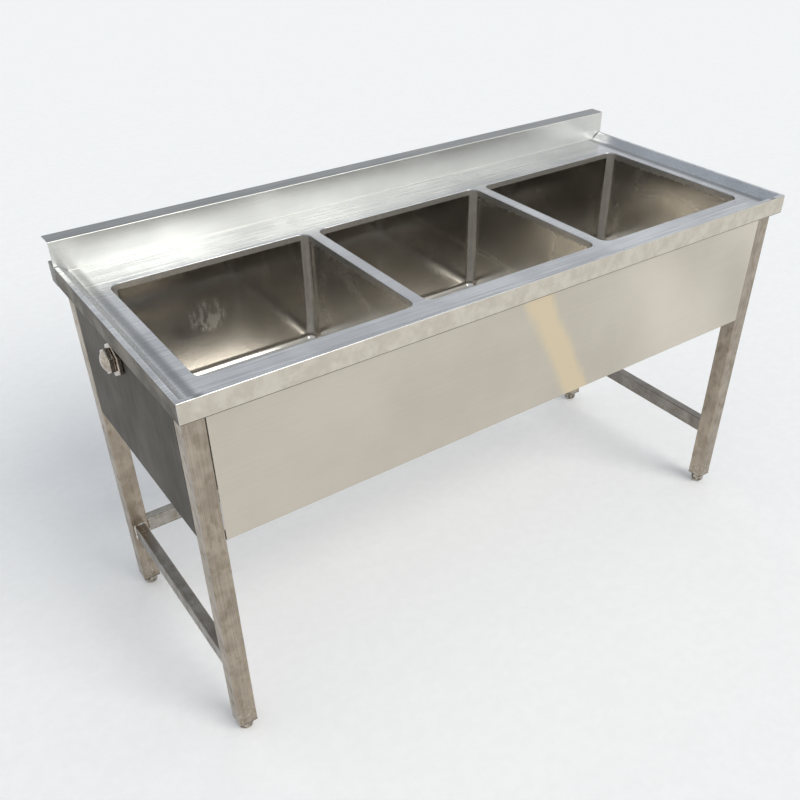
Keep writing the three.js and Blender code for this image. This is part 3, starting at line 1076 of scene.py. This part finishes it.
@dataclass
class FoldedTop:
    """The top: a level deck inside a raised marine edge, with a hem and three openings."""

    finishes: Finishes
    sheet: float = mm(1.5)
    strip: float = mm(9.5)
    foot: float = mm(27)
    drop: float = mm(14)
    side_return: float = mm(9)
    front_return: float = mm(19)
    fold: float = mm(1.8)
    corner: float = mm(22)
    roll: float = mm(2.2)
    lip: float = mm(14)
    back_gap: float = mm(1.5)
    low: Vector = field(init=False)
    high: Vector = field(init=False)

    def __post_init__(self) -> None:
        """Reads the top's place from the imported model."""
        self.low, self.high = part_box("deck_top")

    @property
    def deck(self) -> float:
        """Level of the deck."""
        return self.high.z - self.drop

    def ring(self, side: float, front: float, level: float) -> list[Vector]:
        """The corners of the marine edge at one level, from the back left round to the back right.

        Args:
            side: Distance in from the two ends.
            front: Distance in from the front.
            level: Height.

        Returns:
            Four points.
        """
        back = self.high.y - self.back_gap
        left, right, near = self.low.x + side, self.high.x - side, self.low.y + front
        corners = [(left, back), (left, near), (right, near), (right, back)]
        return [Vector((x, y, level)) for x, y in corners]

    def build(self, openings: list[tuple[Vector, Vector]]) -> Object:
        """Builds and dresses the top.

        Args:
            openings: Lowest and highest corner of each basin's inside.

        Returns:
            The piece.
        """
        bm = bmesh.new()
        outline = self.ring(self.foot, self.foot, self.deck)
        edges = chain(bm, [*outline])
        edges.append(bm.edges.new((edges[-1].verts[1], edges[0].verts[0])))
        run = edges[:3]
        loops = []
        for low, high in openings:
            start, end = Vector((low.x, low.y, self.deck)), Vector((high.x, high.y, self.deck))
            loops.append(Loop.rectangle(bm, start, end, self.corner, spread=self.roll))
        bmesh.ops.triangle_fill(
            bm, use_beauty=True, use_dissolve=False, edges=bm.edges[:], normal=(0, 0, 1)
        )
        for side, front, level in (
            (self.strip, self.strip, self.high.z),
            (0.0, 0.0, self.high.z),
            (0.0, 0.0, self.low.z),
            (self.side_return, self.front_return, self.low.z),
        ):
            run = self.extend(bm, run, self.ring(side, front, level))
        bevel(bm, fold_edges(bm), self.fold)
        for loop in loops:
            self.roll_edge(loop)
        self.mark_hems(bm)
        thicken(bm, self.sheet, Vector((0, 0, 10)))
        part = Part("folded_top", ("deck_top",), Slot.DECK)
        finishes = self.finishes
        return finish_piece(bm, part, finishes.top, finishes.ground, finishes.hem, finishes.side_hem)

    def mark_hems(self, bm: BMesh) -> None:
        """Gives the upright hems their own finishes: cream in front, darker at the two ends as painted shade.

        Args:
            bm: The mesh.
        """
        bm.normal_update()
        for face in bm.faces:
            if face.calc_center_median().z < self.high.z - mm(1) and face.material_index == 0:
                if abs(face.normal.y) > 0.9:
                    face.material_index = 2
                # The end hems get the darker copy of the hem finish, painted shade.
                if abs(face.normal.x) > 0.9:
                    face.material_index = 3

    def extend(self, bm: BMesh, run: list[BMEdge], corners: list[Vector]) -> list[BMEdge]:
        """Extrudes the marine edge's run of edges to its next corners.

        Args:
            bm: The mesh.
            run: The three edges of the last ring.
            corners: Where the four corners go, from the back left round to the back right.

        Returns:
            The three new edges.
        """
        made = bmesh.ops.extrude_edge_only(bm, edges=run)["geom"]
        verts = verts_in(made)
        middle = (self.low + self.high) / 2
        for v in verts:
            right, near = v.co.x > middle.x, v.co.y < middle.y
            index = (2 if near else 3) if right else (1 if near else 0)
            v.co = corners[index]
        return [e for e in edges_in(made) if set(e.verts) <= set(verts)]

    def roll_edge(self, loop: Loop) -> None:
        """Rolls the deck down into an opening, and ends it in a short lip of basin finish.

        Args:
            loop: The opening's edge.
        """
        steps = 5
        for i in range(1, steps + 1):
            angle = math.pi / 2 * i / steps
            out = self.corner + self.roll * (1 - math.sin(angle))
            loop.step(out, self.deck - self.roll * (1 - math.cos(angle)))
        loop.step(self.corner, self.deck - self.lip, material=1)


@dataclass
class Splashback:
    """The splashback: rises out of the deck in a fold, turns back at the top and ends in a hem."""

    finishes: Finishes
    sheet: float = mm(1.5)
    foot_radius: float = mm(1.7)
    top_radius: float = mm(2.2)
    hem: float = mm(10)

    def build(self) -> Object:
        """Builds and dresses the splashback.

        Returns:
            The piece.
        """
        low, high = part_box("splashback")
        bm = bmesh.new()
        section = [
            (low.y - self.foot_radius - mm(0.01), low.z),
            (low.y, low.z),
            (low.y, high.z),
            (high.y, high.z),
            (high.y, high.z - 2 * self.sheet),
            (high.y - self.hem, high.z - 2 * self.sheet),
        ]
        run = chain(bm, [Vector((low.x, y, z)) for y, z in section])
        sweep(bm, run, Vector((high.x - low.x, 0, 0)))
        front, back = low.y + mm(1), high.y - mm(1)
        bevel(bm, fold_edges(bm, lambda e: e.verts[0].co.z < low.z + mm(1)), self.foot_radius, 5)
        upper = fold_edges(bm, lambda e: e.verts[0].co.z > high.z - mm(1) and e.verts[0].co.y < front)
        bevel(bm, upper, self.top_radius, 5)
        bevel(bm, fold_edges(bm, lambda e: e.verts[0].co.y > back), self.sheet, 3)
        thicken(bm, self.sheet * 0.98, Vector((0, -10, 10)))
        return finish_piece(bm, Part("splash_sheet", ("splashback",), Slot.CREAM), self.finishes.splash)


@dataclass
class RearChannel:
    """The channel behind the splashback's foot, open below, with closed ends."""

    finishes: Finishes
    sheet: float = mm(1.5)
    fold: float = mm(1.8)

    def build(self) -> Object:
        """Builds and dresses the channel.

        Returns:
            The piece.
        """
        low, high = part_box("rear_channel")
        bm = bmesh.new()
        block(bm, low, high)
        bm.normal_update()
        bottom = min(bm.faces, key=lambda f: f.calc_center_median().z)
        bmesh.ops.delete(bm, geom=[bottom], context="FACES_ONLY")
        bevel(bm, fold_edges(bm), self.fold)
        thicken(bm, self.sheet)
        part = Part("rear_channel_sheet", ("rear_channel",), Slot.CREAM)
        return finish_piece(bm, part, self.finishes.channel)


@dataclass
class Panel:
    """A skirt panel: an outer face, a fold inwards along its bottom and a short lip upwards."""

    node: str
    facing: Vector
    material: Material
    slot: Slot
    sheet: float = mm(1.2)
    lip: float = mm(8)
    fold: float = mm(1.6)

    def build(self) -> Object:
        """Builds and dresses the panel.

        Returns:
            The piece.
        """
        low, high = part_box(self.node)
        along = Along.X if abs(self.facing.y) > 0.5 else Along.Y
        across = Along.Y if along is Along.X else Along.X
        sign = self.facing[across.value]
        face, inner = (low, high) if sign < 0 else (high, low)
        face, inner = face[across.value], inner[across.value]
        section = [(face, high.z), (face, low.z), (inner, low.z), (inner, low.z + self.lip)]
        points = []
        for offset, level in section:
            point = Vector((low.x, low.y, level))
            point[across.value] = offset
            points.append(point)
        travel = Vector((0, 0, 0))
        travel[along.value] = (high - low)[along.value]
        bm = bmesh.new()
        sweep(bm, chain(bm, points), travel)
        bevel(bm, fold_edges(bm), self.fold, 4)
        thicken(bm, self.sheet, (low + high) / 2 + self.facing * 10)
        return finish_piece(bm, Part(f"{self.node}_sheet", (self.node,), self.slot), self.material)


# ---- basins and wastes ---------------------------------------------------------------------------


@dataclass
class Basin:
    """One welded basin: upright walls with round corners, a round foot and a recessed seat for its waste."""

    name: str
    finishes: Finishes
    sheet: float = mm(1.2)
    corner: float = mm(22)
    fillet: float = mm(20)
    seat: float = mm(60)
    seat_depth: float = mm(3)
    hole: float = mm(45)
    seat_round: float = mm(1.5)
    low: Vector = field(init=False)
    high: Vector = field(init=False)

    def __post_init__(self) -> None:
        """Reads the basin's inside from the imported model."""
        low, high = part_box(f"basin_{self.name}")
        wall = Vector((self.sheet, self.sheet, 0))
        self.low, self.high = low + wall, high - wall
        self.low.z += self.sheet + self.seat_depth

    @property
    def centre(self) -> Vector:
        """Middle of the floor."""
        return Vector(((self.low.x + self.high.x) / 2, (self.low.y + self.high.y) / 2, self.low.z))

    def build(self, patch: tuple[float, float] | None = None) -> Object:
        """Builds and dresses the basin.

        Args:
            patch: Middle of a dried patch on the rear wall, as x and z, or None.

        Returns:
            The piece.
        """
        bm = bmesh.new()
        top = self.high.z + mm(0.3)
        loop = Loop.rectangle(
            bm, Vector((self.low.x, self.low.y, top)), Vector((self.high.x, self.high.y, top)), self.corner
        )
        loop.step(self.corner, self.low.z + self.fillet)
        steps = 8
        for i in range(1, steps + 1):
            angle = math.pi / 2 * i / steps
            distance = self.corner - self.fillet * (1 - math.cos(angle))
            loop.step(distance, self.low.z + self.fillet * (1 - math.sin(angle)))
        drain = Loop.circle(bm, self.centre, self.seat + self.seat_round)
        bmesh.ops.triangle_fill(
            bm, use_beauty=True, use_dissolve=False, edges=[*loop.edges, *drain.edges], normal=(0, 0, 1)
        )
        drain.step(self.seat, self.low.z - self.seat_round * 0.6)
        drain.step(self.seat - self.seat_round * 0.4, self.low.z - self.seat_depth)
        drain.step(self.hole, self.low.z - self.seat_depth)
        bmesh.ops.recalc_face_normals(bm, faces=bm.faces[:])
        bm.normal_update()
        floor = max((f for f in bm.faces if abs(f.normal.z) > 0.9), key=BMFace.calc_area)
        if floor.normal.z < 0:
            bmesh.ops.reverse_faces(bm, faces=bm.faces[:])
        for face in bm.faces:
            if abs(face.normal.x) > 0.3 and abs(face.normal.y) > 0.3 and abs(face.normal.z) < 0.2:
                face.material_index = 1
        thicken(bm, self.sheet)
        material = self.finishes.basin(self.name, self.high.x, self.high.y, patch)
        node = f"basin_{self.name}"
        return finish_piece(bm, Part(f"{node}_shell", (node,), Slot.BASIN), material, self.finishes.ground)


@dataclass
class Waste:
    """The waste of one basin: strainer, back nut, lift-out basket, coupling nut and tailpiece."""

    name: str
    centre: Vector
    finishes: Finishes
    lugs: int = 6
    floor_holes: tuple[tuple[int, float], ...] = ((6, mm(10)), (12, mm(17)), (16, mm(23.5)))

    def build(self) -> list[Object]:
        """Builds and dresses the waste.

        Returns:
            Its pieces.
        """
        refinish(f"strainer_gasket_{self.name}", self.finishes.rubber)
        return [self.strainer(), self.basket(), self.back_nut(), self.coupling(), self.tailpiece()]

    def turned(self, node: str, profile: list[tuple[float, float]], body: str = "frame") -> Object:
        """Turns one piece of the waste.

        Args:
            node: The node it stands for, without the basin's name.
            profile: Radius and height pairs in millimetres.
            body: What it moves with.

        Returns:
            The piece.
        """
        bm = bmesh.new()
        turn(bm, [(mm(r), mm(z)) for r, z in profile], self.centre)
        part = Part(f"{node}_turned_{self.name}", (f"{node}_{self.name}",), Slot.BRIGHT, body)
        return finish_piece(bm, part, self.finishes.bright)

    def strainer(self) -> Object:
        """The strainer: a flange in the basin's seat, a cup with a ledge, and an outlet spigot.

        Returns:
            The piece.
        """
        cup = [(40, -5), (40, -12), (37, -12), *arc(31, -38, 6, 0, -60)]
        inside = [*arc(42.5, -2.5, 1.5, 90, 180), *cup, (21, -49.5)]
        outside = [(21, -75), (23, -75), (23, -51.5), (42, -45.5), (42, -2.7), (57, -2.7)]
        return self.turned("strainer_body", [*inside, *outside, *arc(56, -2, 1, 0, 90), (42.5, -1)])

    def back_nut(self) -> Object:
        """The back nut, a ring with lugs for a spanner.

        Returns:
            The piece.
        """
        low, high = (corner.z - self.centre.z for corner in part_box(f"strainer_back_nut_{self.name}"))
        bore, outside, edge = mm(42.4), mm(54), mm(1)
        foot = [(bore, low), (outside - edge, low), (outside, low + edge)]
        head = [(outside, high - edge), (outside - edge, high), (bore, high)]
        bm = bmesh.new()
        turn(bm, [*foot, *head, foot[0]], self.centre)
        for i in range(self.lugs):
            verts = block(bm, Vector((mm(53), -mm(5), low)), Vector((mm(59), mm(5), low + mm(6))))
            bearing = Matrix.Rotation(2 * math.pi * i / self.lugs, 3, "Z")
            bmesh.ops.rotate(bm, verts=verts, cent=(0, 0, 0), matrix=bearing)
            bmesh.ops.translate(bm, verts=verts, vec=self.centre)
        part = Part(f"back_nut_{self.name}", (f"strainer_back_nut_{self.name}",), Slot.BRIGHT)
        return finish_piece(bm, part, self.finishes.bright)

    def basket(self) -> Object:
        """The basket: a perforated cup with a rolled rim, and a post with a knob.

        Returns:
            The piece.
        """
        lip = [(39.1, -10.2), (39.5, -10.6), (39.4, -11.2)]
        cup = [(29.5, -35.6), (34, -12.2), (35, -10.6), (36, -10.2), *lip]
        knob = [(4, -11), (8.4, -8.6), (9, -7.6), (9, -4.6), (8.4, -3.2), (6, -2.1), (0.5, -2)]
        bm = bmesh.new()
        floor = self.centre + Vector((0, 0, mm(-36.6)))
        rim = Loop.circle(bm, floor, mm(28))
        post = Loop.circle(bm, floor, mm(4), 24)
        edges = [*rim.edges, *post.edges]
        for count, circle in self.floor_holes:
            for i in range(count):
                angle = 2 * math.pi * i / count
                at = floor + Vector((circle * math.cos(angle), circle * math.sin(angle), 0))
                edges += Loop.circle(bm, at, mm(1.9), 12).edges
        bmesh.ops.triangle_fill(bm, use_beauty=True, use_dissolve=False, edges=edges, normal=(0, 0, 1))
        for loop, wall in ((rim, cup), (post, knob)):
            for distance, level in wall:
                loop.step(mm(distance), self.centre.z + mm(level))
        bmesh.ops.contextual_create(bm, geom=post.edges)
        thicken(bm, mm(0.8), floor + Vector((0, 0, 10)))
        nodes = (f"strainer_basket_{self.name}",)
        part = Part(f"basket_cup_{self.name}", nodes, Slot.BRIGHT, f"basket_{self.name}")
        return finish_piece(bm, part, self.finishes.bright)

    def coupling(self) -> Object:
        """The coupling nut.

        Returns:
            The piece.
        """
        lower = [(20, -82), (27, -82), (29.5, -80.5), (30, -78)]
        upper = [(30, -63), (29.5, -60.5), (28, -59), (23.4, -59), (23.4, -78), (20, -78), (20, -82)]
        return self.turned("coupling_nut", [*lower, *upper])

    def tailpiece(self) -> Object:
        """The tailpiece, a plain tube with a collar.

        Returns:
            The piece.
        """
        tube = [(18, -139.5), (18.5, -140), (19.5, -139.5), (19.5, -77.5)]
        return self.turned("tailpiece", [*tube, (22.5, -77.5), (22.5, -75.3), (18, -75.3), tube[0]])


# ---- legs, feet and rails ------------------------------------------------------------------------


@dataclass
class Tube:
    """A square or oblong tube with rounded edges, open at both ends."""

    node: str
    along: Along
    material: Material
    wall: float = mm(1.5)
    corner: float = mm(3)

    def build(self) -> Object:
        """Builds and dresses the tube.

        Returns:
            The piece.
        """
        low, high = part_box(self.node)
        bm = bmesh.new()
        block(bm, low, high)
        bm.normal_update()
        ends = [f for f in bm.faces if abs(f.normal[self.along.value]) > 0.5]
        bmesh.ops.delete(bm, geom=ends, context="FACES_ONLY")
        bevel(bm, fold_edges(bm), self.corner, 5)
        thicken(bm, self.wall)
        return finish_piece(bm, Part(f"{self.node}_tube", (self.node,), Slot.TUBE), self.material)


@dataclass
class Foot:
    """A bullet foot on its threaded stud."""

    name: str
    finishes: Finishes
    radius: float = mm(16)
    height: float = mm(25.4)
    stud: float = mm(6)
    thread: float = mm(0.45)
    pitch: float = mm(1.75)

    def build(self) -> Object:
        """Builds and dresses the foot.

        Returns:
            The piece.
        """
        low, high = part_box(f"foot_{self.name}")
        axis = Vector(((low.x + high.x) / 2, (low.y + high.y) / 2, low.z))
        dome = [(0, 0), (mm(8), 0), *arc(mm(6), mm(10), mm(10), -72, 0, 8)]
        shoulder = arc(self.radius - mm(3), self.height - mm(4.4), mm(3), 0, 70, 4)
        shoulder.append((mm(12.5), self.height))
        profile = [*dome, *shoulder, (self.stud, self.height)]
        level = self.height + mm(1)
        while level + self.pitch < high.z - low.z:
            profile += [(self.stud - self.thread, level), (self.stud, level + self.pitch / 2)]
            level += self.pitch
        profile += [(self.stud - self.thread, high.z - low.z), (0, high.z - low.z)]
        bm = bmesh.new()
        turn(bm, profile, axis, 48)
        part = Part(f"bullet_foot_{self.name}", (f"foot_{self.name}",), Slot.TUBE, f"foot_{self.name}")
        return finish_piece(bm, part, self.finishes.feet)


@dataclass
class LegFrame:
    """Four legs on feet, with braces and rails between them."""

    finishes: Finishes
    corners: tuple[str, ...] = ("front_left", "front_right", "rear_left", "rear_right")

    def build(self) -> list[Object]:
        """Builds and dresses the frame.

        Returns:
            Its pieces.
        """
        pieces = []
        for corner in self.corners:
            pieces.append(Tube(f"leg_{corner}", Along.Z, self.finishes.legs).build())
            pieces.append(Foot(corner, self.finishes).build())
            refinish(f"leg_insert_{corner}", self.finishes.nylon)
        for side in Side:
            for node in (f"{side.value}_side_brace", f"upper_{side.value}_rail"):
                tube = Tube(node, Along.Y, self.finishes.braces, wall=mm(1.2), corner=mm(2.4))
                pieces.append(tube.build())
        for node in ("rear_lower_rail", "upper_front_rail", "upper_rear_rail"):
            pieces.append(Tube(node, Along.X, self.finishes.rails, wall=mm(1.2), corner=mm(2.4)).build())
        return pieces


@dataclass
class WeldSeam:
    """A bead of weld metal round the end of a brace or rail, as overlapping ripples."""

    name: str
    low: Vector
    high: Vector
    normal: Along
    material: Material
    ripple: float = mm(7)
    pitch: float = mm(3.2)

    def build(self) -> Object:
        """Builds and dresses the bead.

        Returns:
            The piece.
        """
        bm = bmesh.new()
        flat = [axis for axis in Along if axis is not self.normal]
        a, b = (axis.value for axis in flat)
        spans = [(a, b, self.low[b]), (a, b, self.high[b]), (b, a, self.low[a]), (b, a, self.high[a])]
        ripple_number = 0
        for run, fixed, level in spans:
            length = self.high[run] - self.low[run]
            count = max(2, round(length / self.pitch))
            for i in range(count):
                centre = (self.low + self.high) / 2
                centre[fixed] = level
                centre[run] = self.low[run] + length * (i + 0.5) / count
                size = self.ripple * (0.5 + 0.12 * math.sin(ripple_number * 2.4))
                made = bmesh.ops.create_icosphere(bm, subdivisions=1, radius=size)["verts"]
                bmesh.ops.translate(bm, verts=made, vec=centre)
                ripple_number += 1
        return finish_piece(bm, Part(self.name, (), Slot.TUBE), self.material)


@dataclass
class Welds:
    """Every bead that shows: where braces and rails meet the legs."""

    finishes: Finishes
    inset: float = mm(0.6)

    def build(self) -> list[Object]:
        """Builds a bead at both ends of each brace and of the rear rail.

        Returns:
            The beads.
        """
        beads = []
        for node, along in (
            ("left_side_brace", Along.Y),
            ("right_side_brace", Along.Y),
            ("rear_lower_rail", Along.X),
        ):
            low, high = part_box(node)
            for end, level in (("start", low[along.value]), ("finish", high[along.value])):
                a, b = low.copy(), high.copy()
                for axis in Along:
                    if axis is not along:
                        a[axis.value] += self.inset
                        b[axis.value] -= self.inset
                a[along.value] = b[along.value] = level
                beads.append(WeldSeam(f"weld_{node}_{end}", a, b, along, self.finishes.weld).build())
        return beads


# ---- overflow fitting ----------------------------------------------------------------------------


@dataclass
class OverflowFitting:
    """The capped fitting on the left end: a flange nut, a cap with a domed front, and the pipe inside."""

    finishes: Finishes
    edge: float = mm(2.2)

    def build(self) -> list[Object]:
        """Builds and dresses the fitting.

        Returns:
            Its pieces.
        """
        nut_low, nut_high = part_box("overflow_flange_nut")
        cap_low, cap_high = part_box("overflow_cap")
        pipe_low, pipe_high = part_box("overflow_pipe")
        axis = Vector((0, (nut_low.y + nut_high.y) / 2, (nut_low.z + nut_high.z) / 2))
        return [
            self.nut(nut_low, nut_high, axis),
            self.cap(cap_low, cap_high, axis),
            self.pipe(pipe_low, pipe_high, axis),
            self.rosette(axis),
        ]

    def lay(self, bm: BMesh, axis: Vector, start: float) -> None:
        """Lays an upright piece along -X, with its foot at one place.

        Args:
            bm: The mesh.
            axis: A point on the fitting's axis.
            start: Where height 0 goes along X.
        """
        bmesh.ops.rotate(bm, verts=bm.verts[:], cent=(0, 0, 0), matrix=Matrix.Rotation(-math.pi / 2, 3, "Y"))
        bmesh.ops.translate(bm, verts=bm.verts[:], vec=Vector((start, axis.y, axis.z)))

    def hexagon(self, bm: BMesh, flats: float, start: float, thickness: float, hole: float) -> None:
        """An upright hexagon with rounded edges and a round bore.

        Args:
            bm: The mesh that gets it.
            flats: Its size across flats.
            start: Height of its foot.
            thickness: Its thickness.
            hole: Radius of its bore.
        """
        known = set(bm.faces)
        turned = Matrix.Translation((0, 0, start)) @ Matrix.Rotation(math.pi / 2, 4, "Z")
        for radius, segments in ((flats / math.sqrt(3), 6), (hole, 48)):
            bmesh.ops.create_circle(bm, cap_ends=False, radius=radius, segments=segments, matrix=turned)
        wire = [e for e in bm.edges if not e.link_faces]
        bmesh.ops.triangle_fill(bm, use_beauty=True, use_dissolve=False, edges=wire, normal=(0, 0, 1))
        faces = [f for f in bm.faces if f not in known]
        made = bmesh.ops.extrude_face_region(bm, geom=faces)["geom"]
        bmesh.ops.translate(bm, verts=verts_in(made), vec=(0, 0, thickness))
        bmesh.ops.recalc_face_normals(bm, faces=[f for f in bm.faces if f not in known])
        outer = {v for v in bm.verts if v.co.xy.length > hole * 1.2}
        rim = fold_edges(bm, lambda e: not set(e.link_faces) & known and set(e.verts) <= outer)
        bevel(bm, rim, self.edge, 5)

    def nut(self, low: Vector, high: Vector, axis: Vector) -> Object:
        """The flange nut.

        Args:
            low: Its lowest corner.
            high: Its highest corner.
            axis: A point on the fitting's axis.

        Returns:
            The piece.
        """
        bm = bmesh.new()
        self.hexagon(bm, high.z - low.z, 0, high.x - low.x, mm(15.3))
        self.lay(bm, axis, high.x)
        part = Part("overflow_nut_hexagon", ("overflow_flange_nut",), Slot.BRIGHT)
        return finish_piece(bm, part, self.finishes.fitting)

    def cap(self, low: Vector, high: Vector, axis: Vector) -> Object:
        """The cap: a round neck, a hexagon and a domed front.

        Args:
            low: Its lowest corner.
            high: Its highest corner.
            axis: A point on the fitting's axis.

        Returns:
            The piece.
        """
        reach = high.x - low.x
        flats = high.z - low.z
        radius = flats / 2 - mm(2.5)
        bm = bmesh.new()
        rise = reach - mm(12)
        ball = (radius**2 + rise**2) / (2 * rise)
        lean = math.degrees(math.asin(radius / ball))
        dome = arc(0, reach - ball, ball, 90, 90 - lean, 8)
        turn(bm, [*dome, (radius, mm(11)), (mm(18.5), mm(11)), (mm(18.5), 0), (0, 0)], Vector((0, 0, 0)), 72)
        self.hexagon(bm, flats, 0, mm(12), mm(18.6))
        self.lay(bm, axis, high.x)
        part = Part("overflow_cap_dome", ("overflow_cap",), Slot.BRIGHT)
        return finish_piece(bm, part, self.finishes.fitting)

    def pipe(self, low: Vector, high: Vector, axis: Vector) -> Object:
        """The pipe through the basin's wall, with its collar.

        Args:
            low: Its lowest corner.
            high: Its highest corner.
            axis: A point on the fitting's axis.

        Returns:
            The piece.
        """
        bore, outside, end = mm(12), mm(15), high.x - low.x
        collar = [(outside, mm(1.3)), (mm(22), mm(1.3)), (mm(22), mm(5)), (outside, mm(5))]
        bm = bmesh.new()
        tube = [(bore, 0), (outside, 0), *collar, (outside, end), (bore, end), (bore, 0)]
        turn(bm, tube, Vector((0, 0, 0)))
        self.lay(bm, axis, high.x)
        part = Part("overflow_pipe_tube", ("overflow_pipe",), Slot.BRIGHT)
        return finish_piece(bm, part, self.finishes.bright)

    def rosette(self, axis: Vector) -> Object:
        """The slotted disc on the basin's wall.

        Args:
            axis: A point on the fitting's axis.

        Returns:
            The piece.
        """
        _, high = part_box("overflow_rosette")
        bm = bmesh.new()
        rim = Loop.circle(bm, Vector((0, 0, -mm(2.5))), mm(22))
        edges = list(rim.edges)
        for offset in (-mm(6), 0.0, mm(6)):
            half = Vector((mm(8), mm(1.5), 0))
            centre = Vector((0, offset, -mm(2.5)))
            edges += Loop.rectangle(bm, centre - half, centre + half, mm(1.4)).edges
        bmesh.ops.triangle_fill(bm, use_beauty=True, use_dissolve=False, edges=edges, normal=(0, 0, -1))
        rim.step(mm(23.5), -mm(2.0))
        rim.step(mm(24), -mm(1.2))
        rim.step(mm(24), 0)
        thicken(bm, mm(1.2), Vector((0, 0, -10)))
        self.lay(bm, axis, high.x - mm(8))
        part = Part("overflow_rosette_disc", ("overflow_rosette",), Slot.BRIGHT)
        return finish_piece(bm, part, self.finishes.bright)


# ---- studio --------------------------------------------------------------------------------------


@dataclass
class Studio:
    """A plain pale floor, soft light and the camera."""

    lens: float = 39.746
    shift: tuple[float, float] = (-0.0235, 0.0494)
    eye: tuple[float, float, float] = (-1.087, -1.4478, 1.5943)
    aim: tuple[float, float, float] = (54.098, 0.162, -35.524)
    floor_size: float = 60.0
    horizon: str = "#f0f1f2"
    zenith: str = "#b4bac1"
    glow: float = 0.1
    glow_from: tuple[float, float, float] = (-0.35, -0.86, 0.37)
    key: float = 1.65
    key_spread: float = 36.0
    key_from: tuple[float, float, float] = (0.24, -0.77, 0.68)

    def build(self) -> None:
        """Builds the floor, the light, the sky and the camera."""
        bpy.context.scene.view_settings.view_transform = "Standard"
        self.floor()
        self.sky()
        self.sun()
        self.camera()

    def floor(self) -> None:
        """A matt painted floor, faintly uneven."""
        bm = bmesh.new()
        bmesh.ops.create_grid(bm, x_segments=1, y_segments=1, size=self.floor_size / 2)
        mesh = bpy.data.meshes.new("floor")
        bm.to_mesh(mesh)
        bm.free()
        floor = bpy.data.objects.new("floor", mesh)
        bpy.context.scene.collection.objects.link(floor)
        paint = Moulded("matt_painted_floor", "#fbfbfb", "#f8f8f8", 0.9, texture=mm(8))
        mesh.materials.append(paint.build())

    def sky(self) -> None:
        """Soft light from all round: bright low down, dimmer overhead, brightest straight in front."""
        world = bpy.data.worlds.new("soft_studio")
        bpy.context.scene.world = world
        tree = new_tree(world)
        direction = add_node(tree, "ShaderNodeTexCoord").outputs["Generated"]
        split = add_node(tree, "ShaderNodeSeparateXYZ", {"Vector": direction})
        up = add_node(tree, "ShaderNodeMapRange", (split.outputs[2], 0.25, 0.85), **SMOOTH)
        shades = (up.outputs[0], linear(self.horizon), linear(self.zenith))
        colour = add_node(tree, "ShaderNodeMix", shades, **COLOUR)
        ahead = add_node(tree, "ShaderNodeVectorMath", (direction, self.glow_from), operation="DOT_PRODUCT")
        reach = (ahead.outputs["Value"], 0.7, 1.0, 1.0, 1.0 + self.glow)
        strength = add_node(tree, "ShaderNodeMapRange", reach, **SMOOTH)
        light = {"Color": colour.outputs[2], "Strength": strength.outputs[0]}
        background = add_node(tree, "ShaderNodeBackground", light)
        add_node(tree, "ShaderNodeOutputWorld", {"Surface": background.outputs[0]})

    def sun(self) -> None:
        """One broad, soft key light from the front right."""
        data = bpy.data.lights.new("key_light", "SUN")
        data.energy = self.key
        data.angle = math.radians(self.key_spread)
        data.color = linear("#fffdf8")[:3]
        light = bpy.data.objects.new("key_light", data)
        bpy.context.scene.collection.objects.link(light)
        light.rotation_euler = (-Vector(self.key_from)).to_track_quat("-Z", "Y").to_euler()

    def camera(self) -> None:
        """The camera, at a standing person's height off the left front corner."""
        data = bpy.data.cameras.new("camera")
        data.lens = self.lens
        data.shift_x, data.shift_y = self.shift
        camera = bpy.data.objects.new("camera", data)
        bpy.context.scene.collection.objects.link(camera)
        camera.location = self.eye
        camera.rotation_euler = Euler([math.radians(a) for a in self.aim], "XYZ")
        bpy.context.scene.camera = camera


# ---- the whole sink ------------------------------------------------------------------------------


def main() -> None:
    """Builds the sink, sub-assembly by sub-assembly, and the studio round it."""
    logging.basicConfig(level=logging.INFO, format="%(name)s: %(message)s")
    low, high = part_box("deck_top")
    finishes = Finishes(rim=high.z, front=low.y, ends=(low.x, high.x))
    basins = [Basin(name, finishes) for name in ("left", "middle", "right")]
    for basin in basins:
        patch = (basin.centre.x - mm(30), basin.centre.z + mm(135)) if basin.name == "left" else None
        basin.build(patch)
        Waste(basin.name, basin.centre, finishes).build()
    FoldedTop(finishes).build([(basin.low, basin.high) for basin in basins])
    Splashback(finishes).build()
    RearChannel(finishes).build()
    Panel("front_apron", Vector((0, -1, 0)), finishes.apron, Slot.CREAM).build()
    Panel("left_end_panel", Vector((-1, 0, 0)), finishes.panel, Slot.PANEL).build()
    Panel("right_end_panel", Vector((1, 0, 0)), finishes.panel, Slot.PANEL).build()
    LegFrame(finishes).build()
    Welds(finishes).build()
    OverflowFitting(finishes).build()
    Studio().build()


if __name__ == "__main__":
    main()
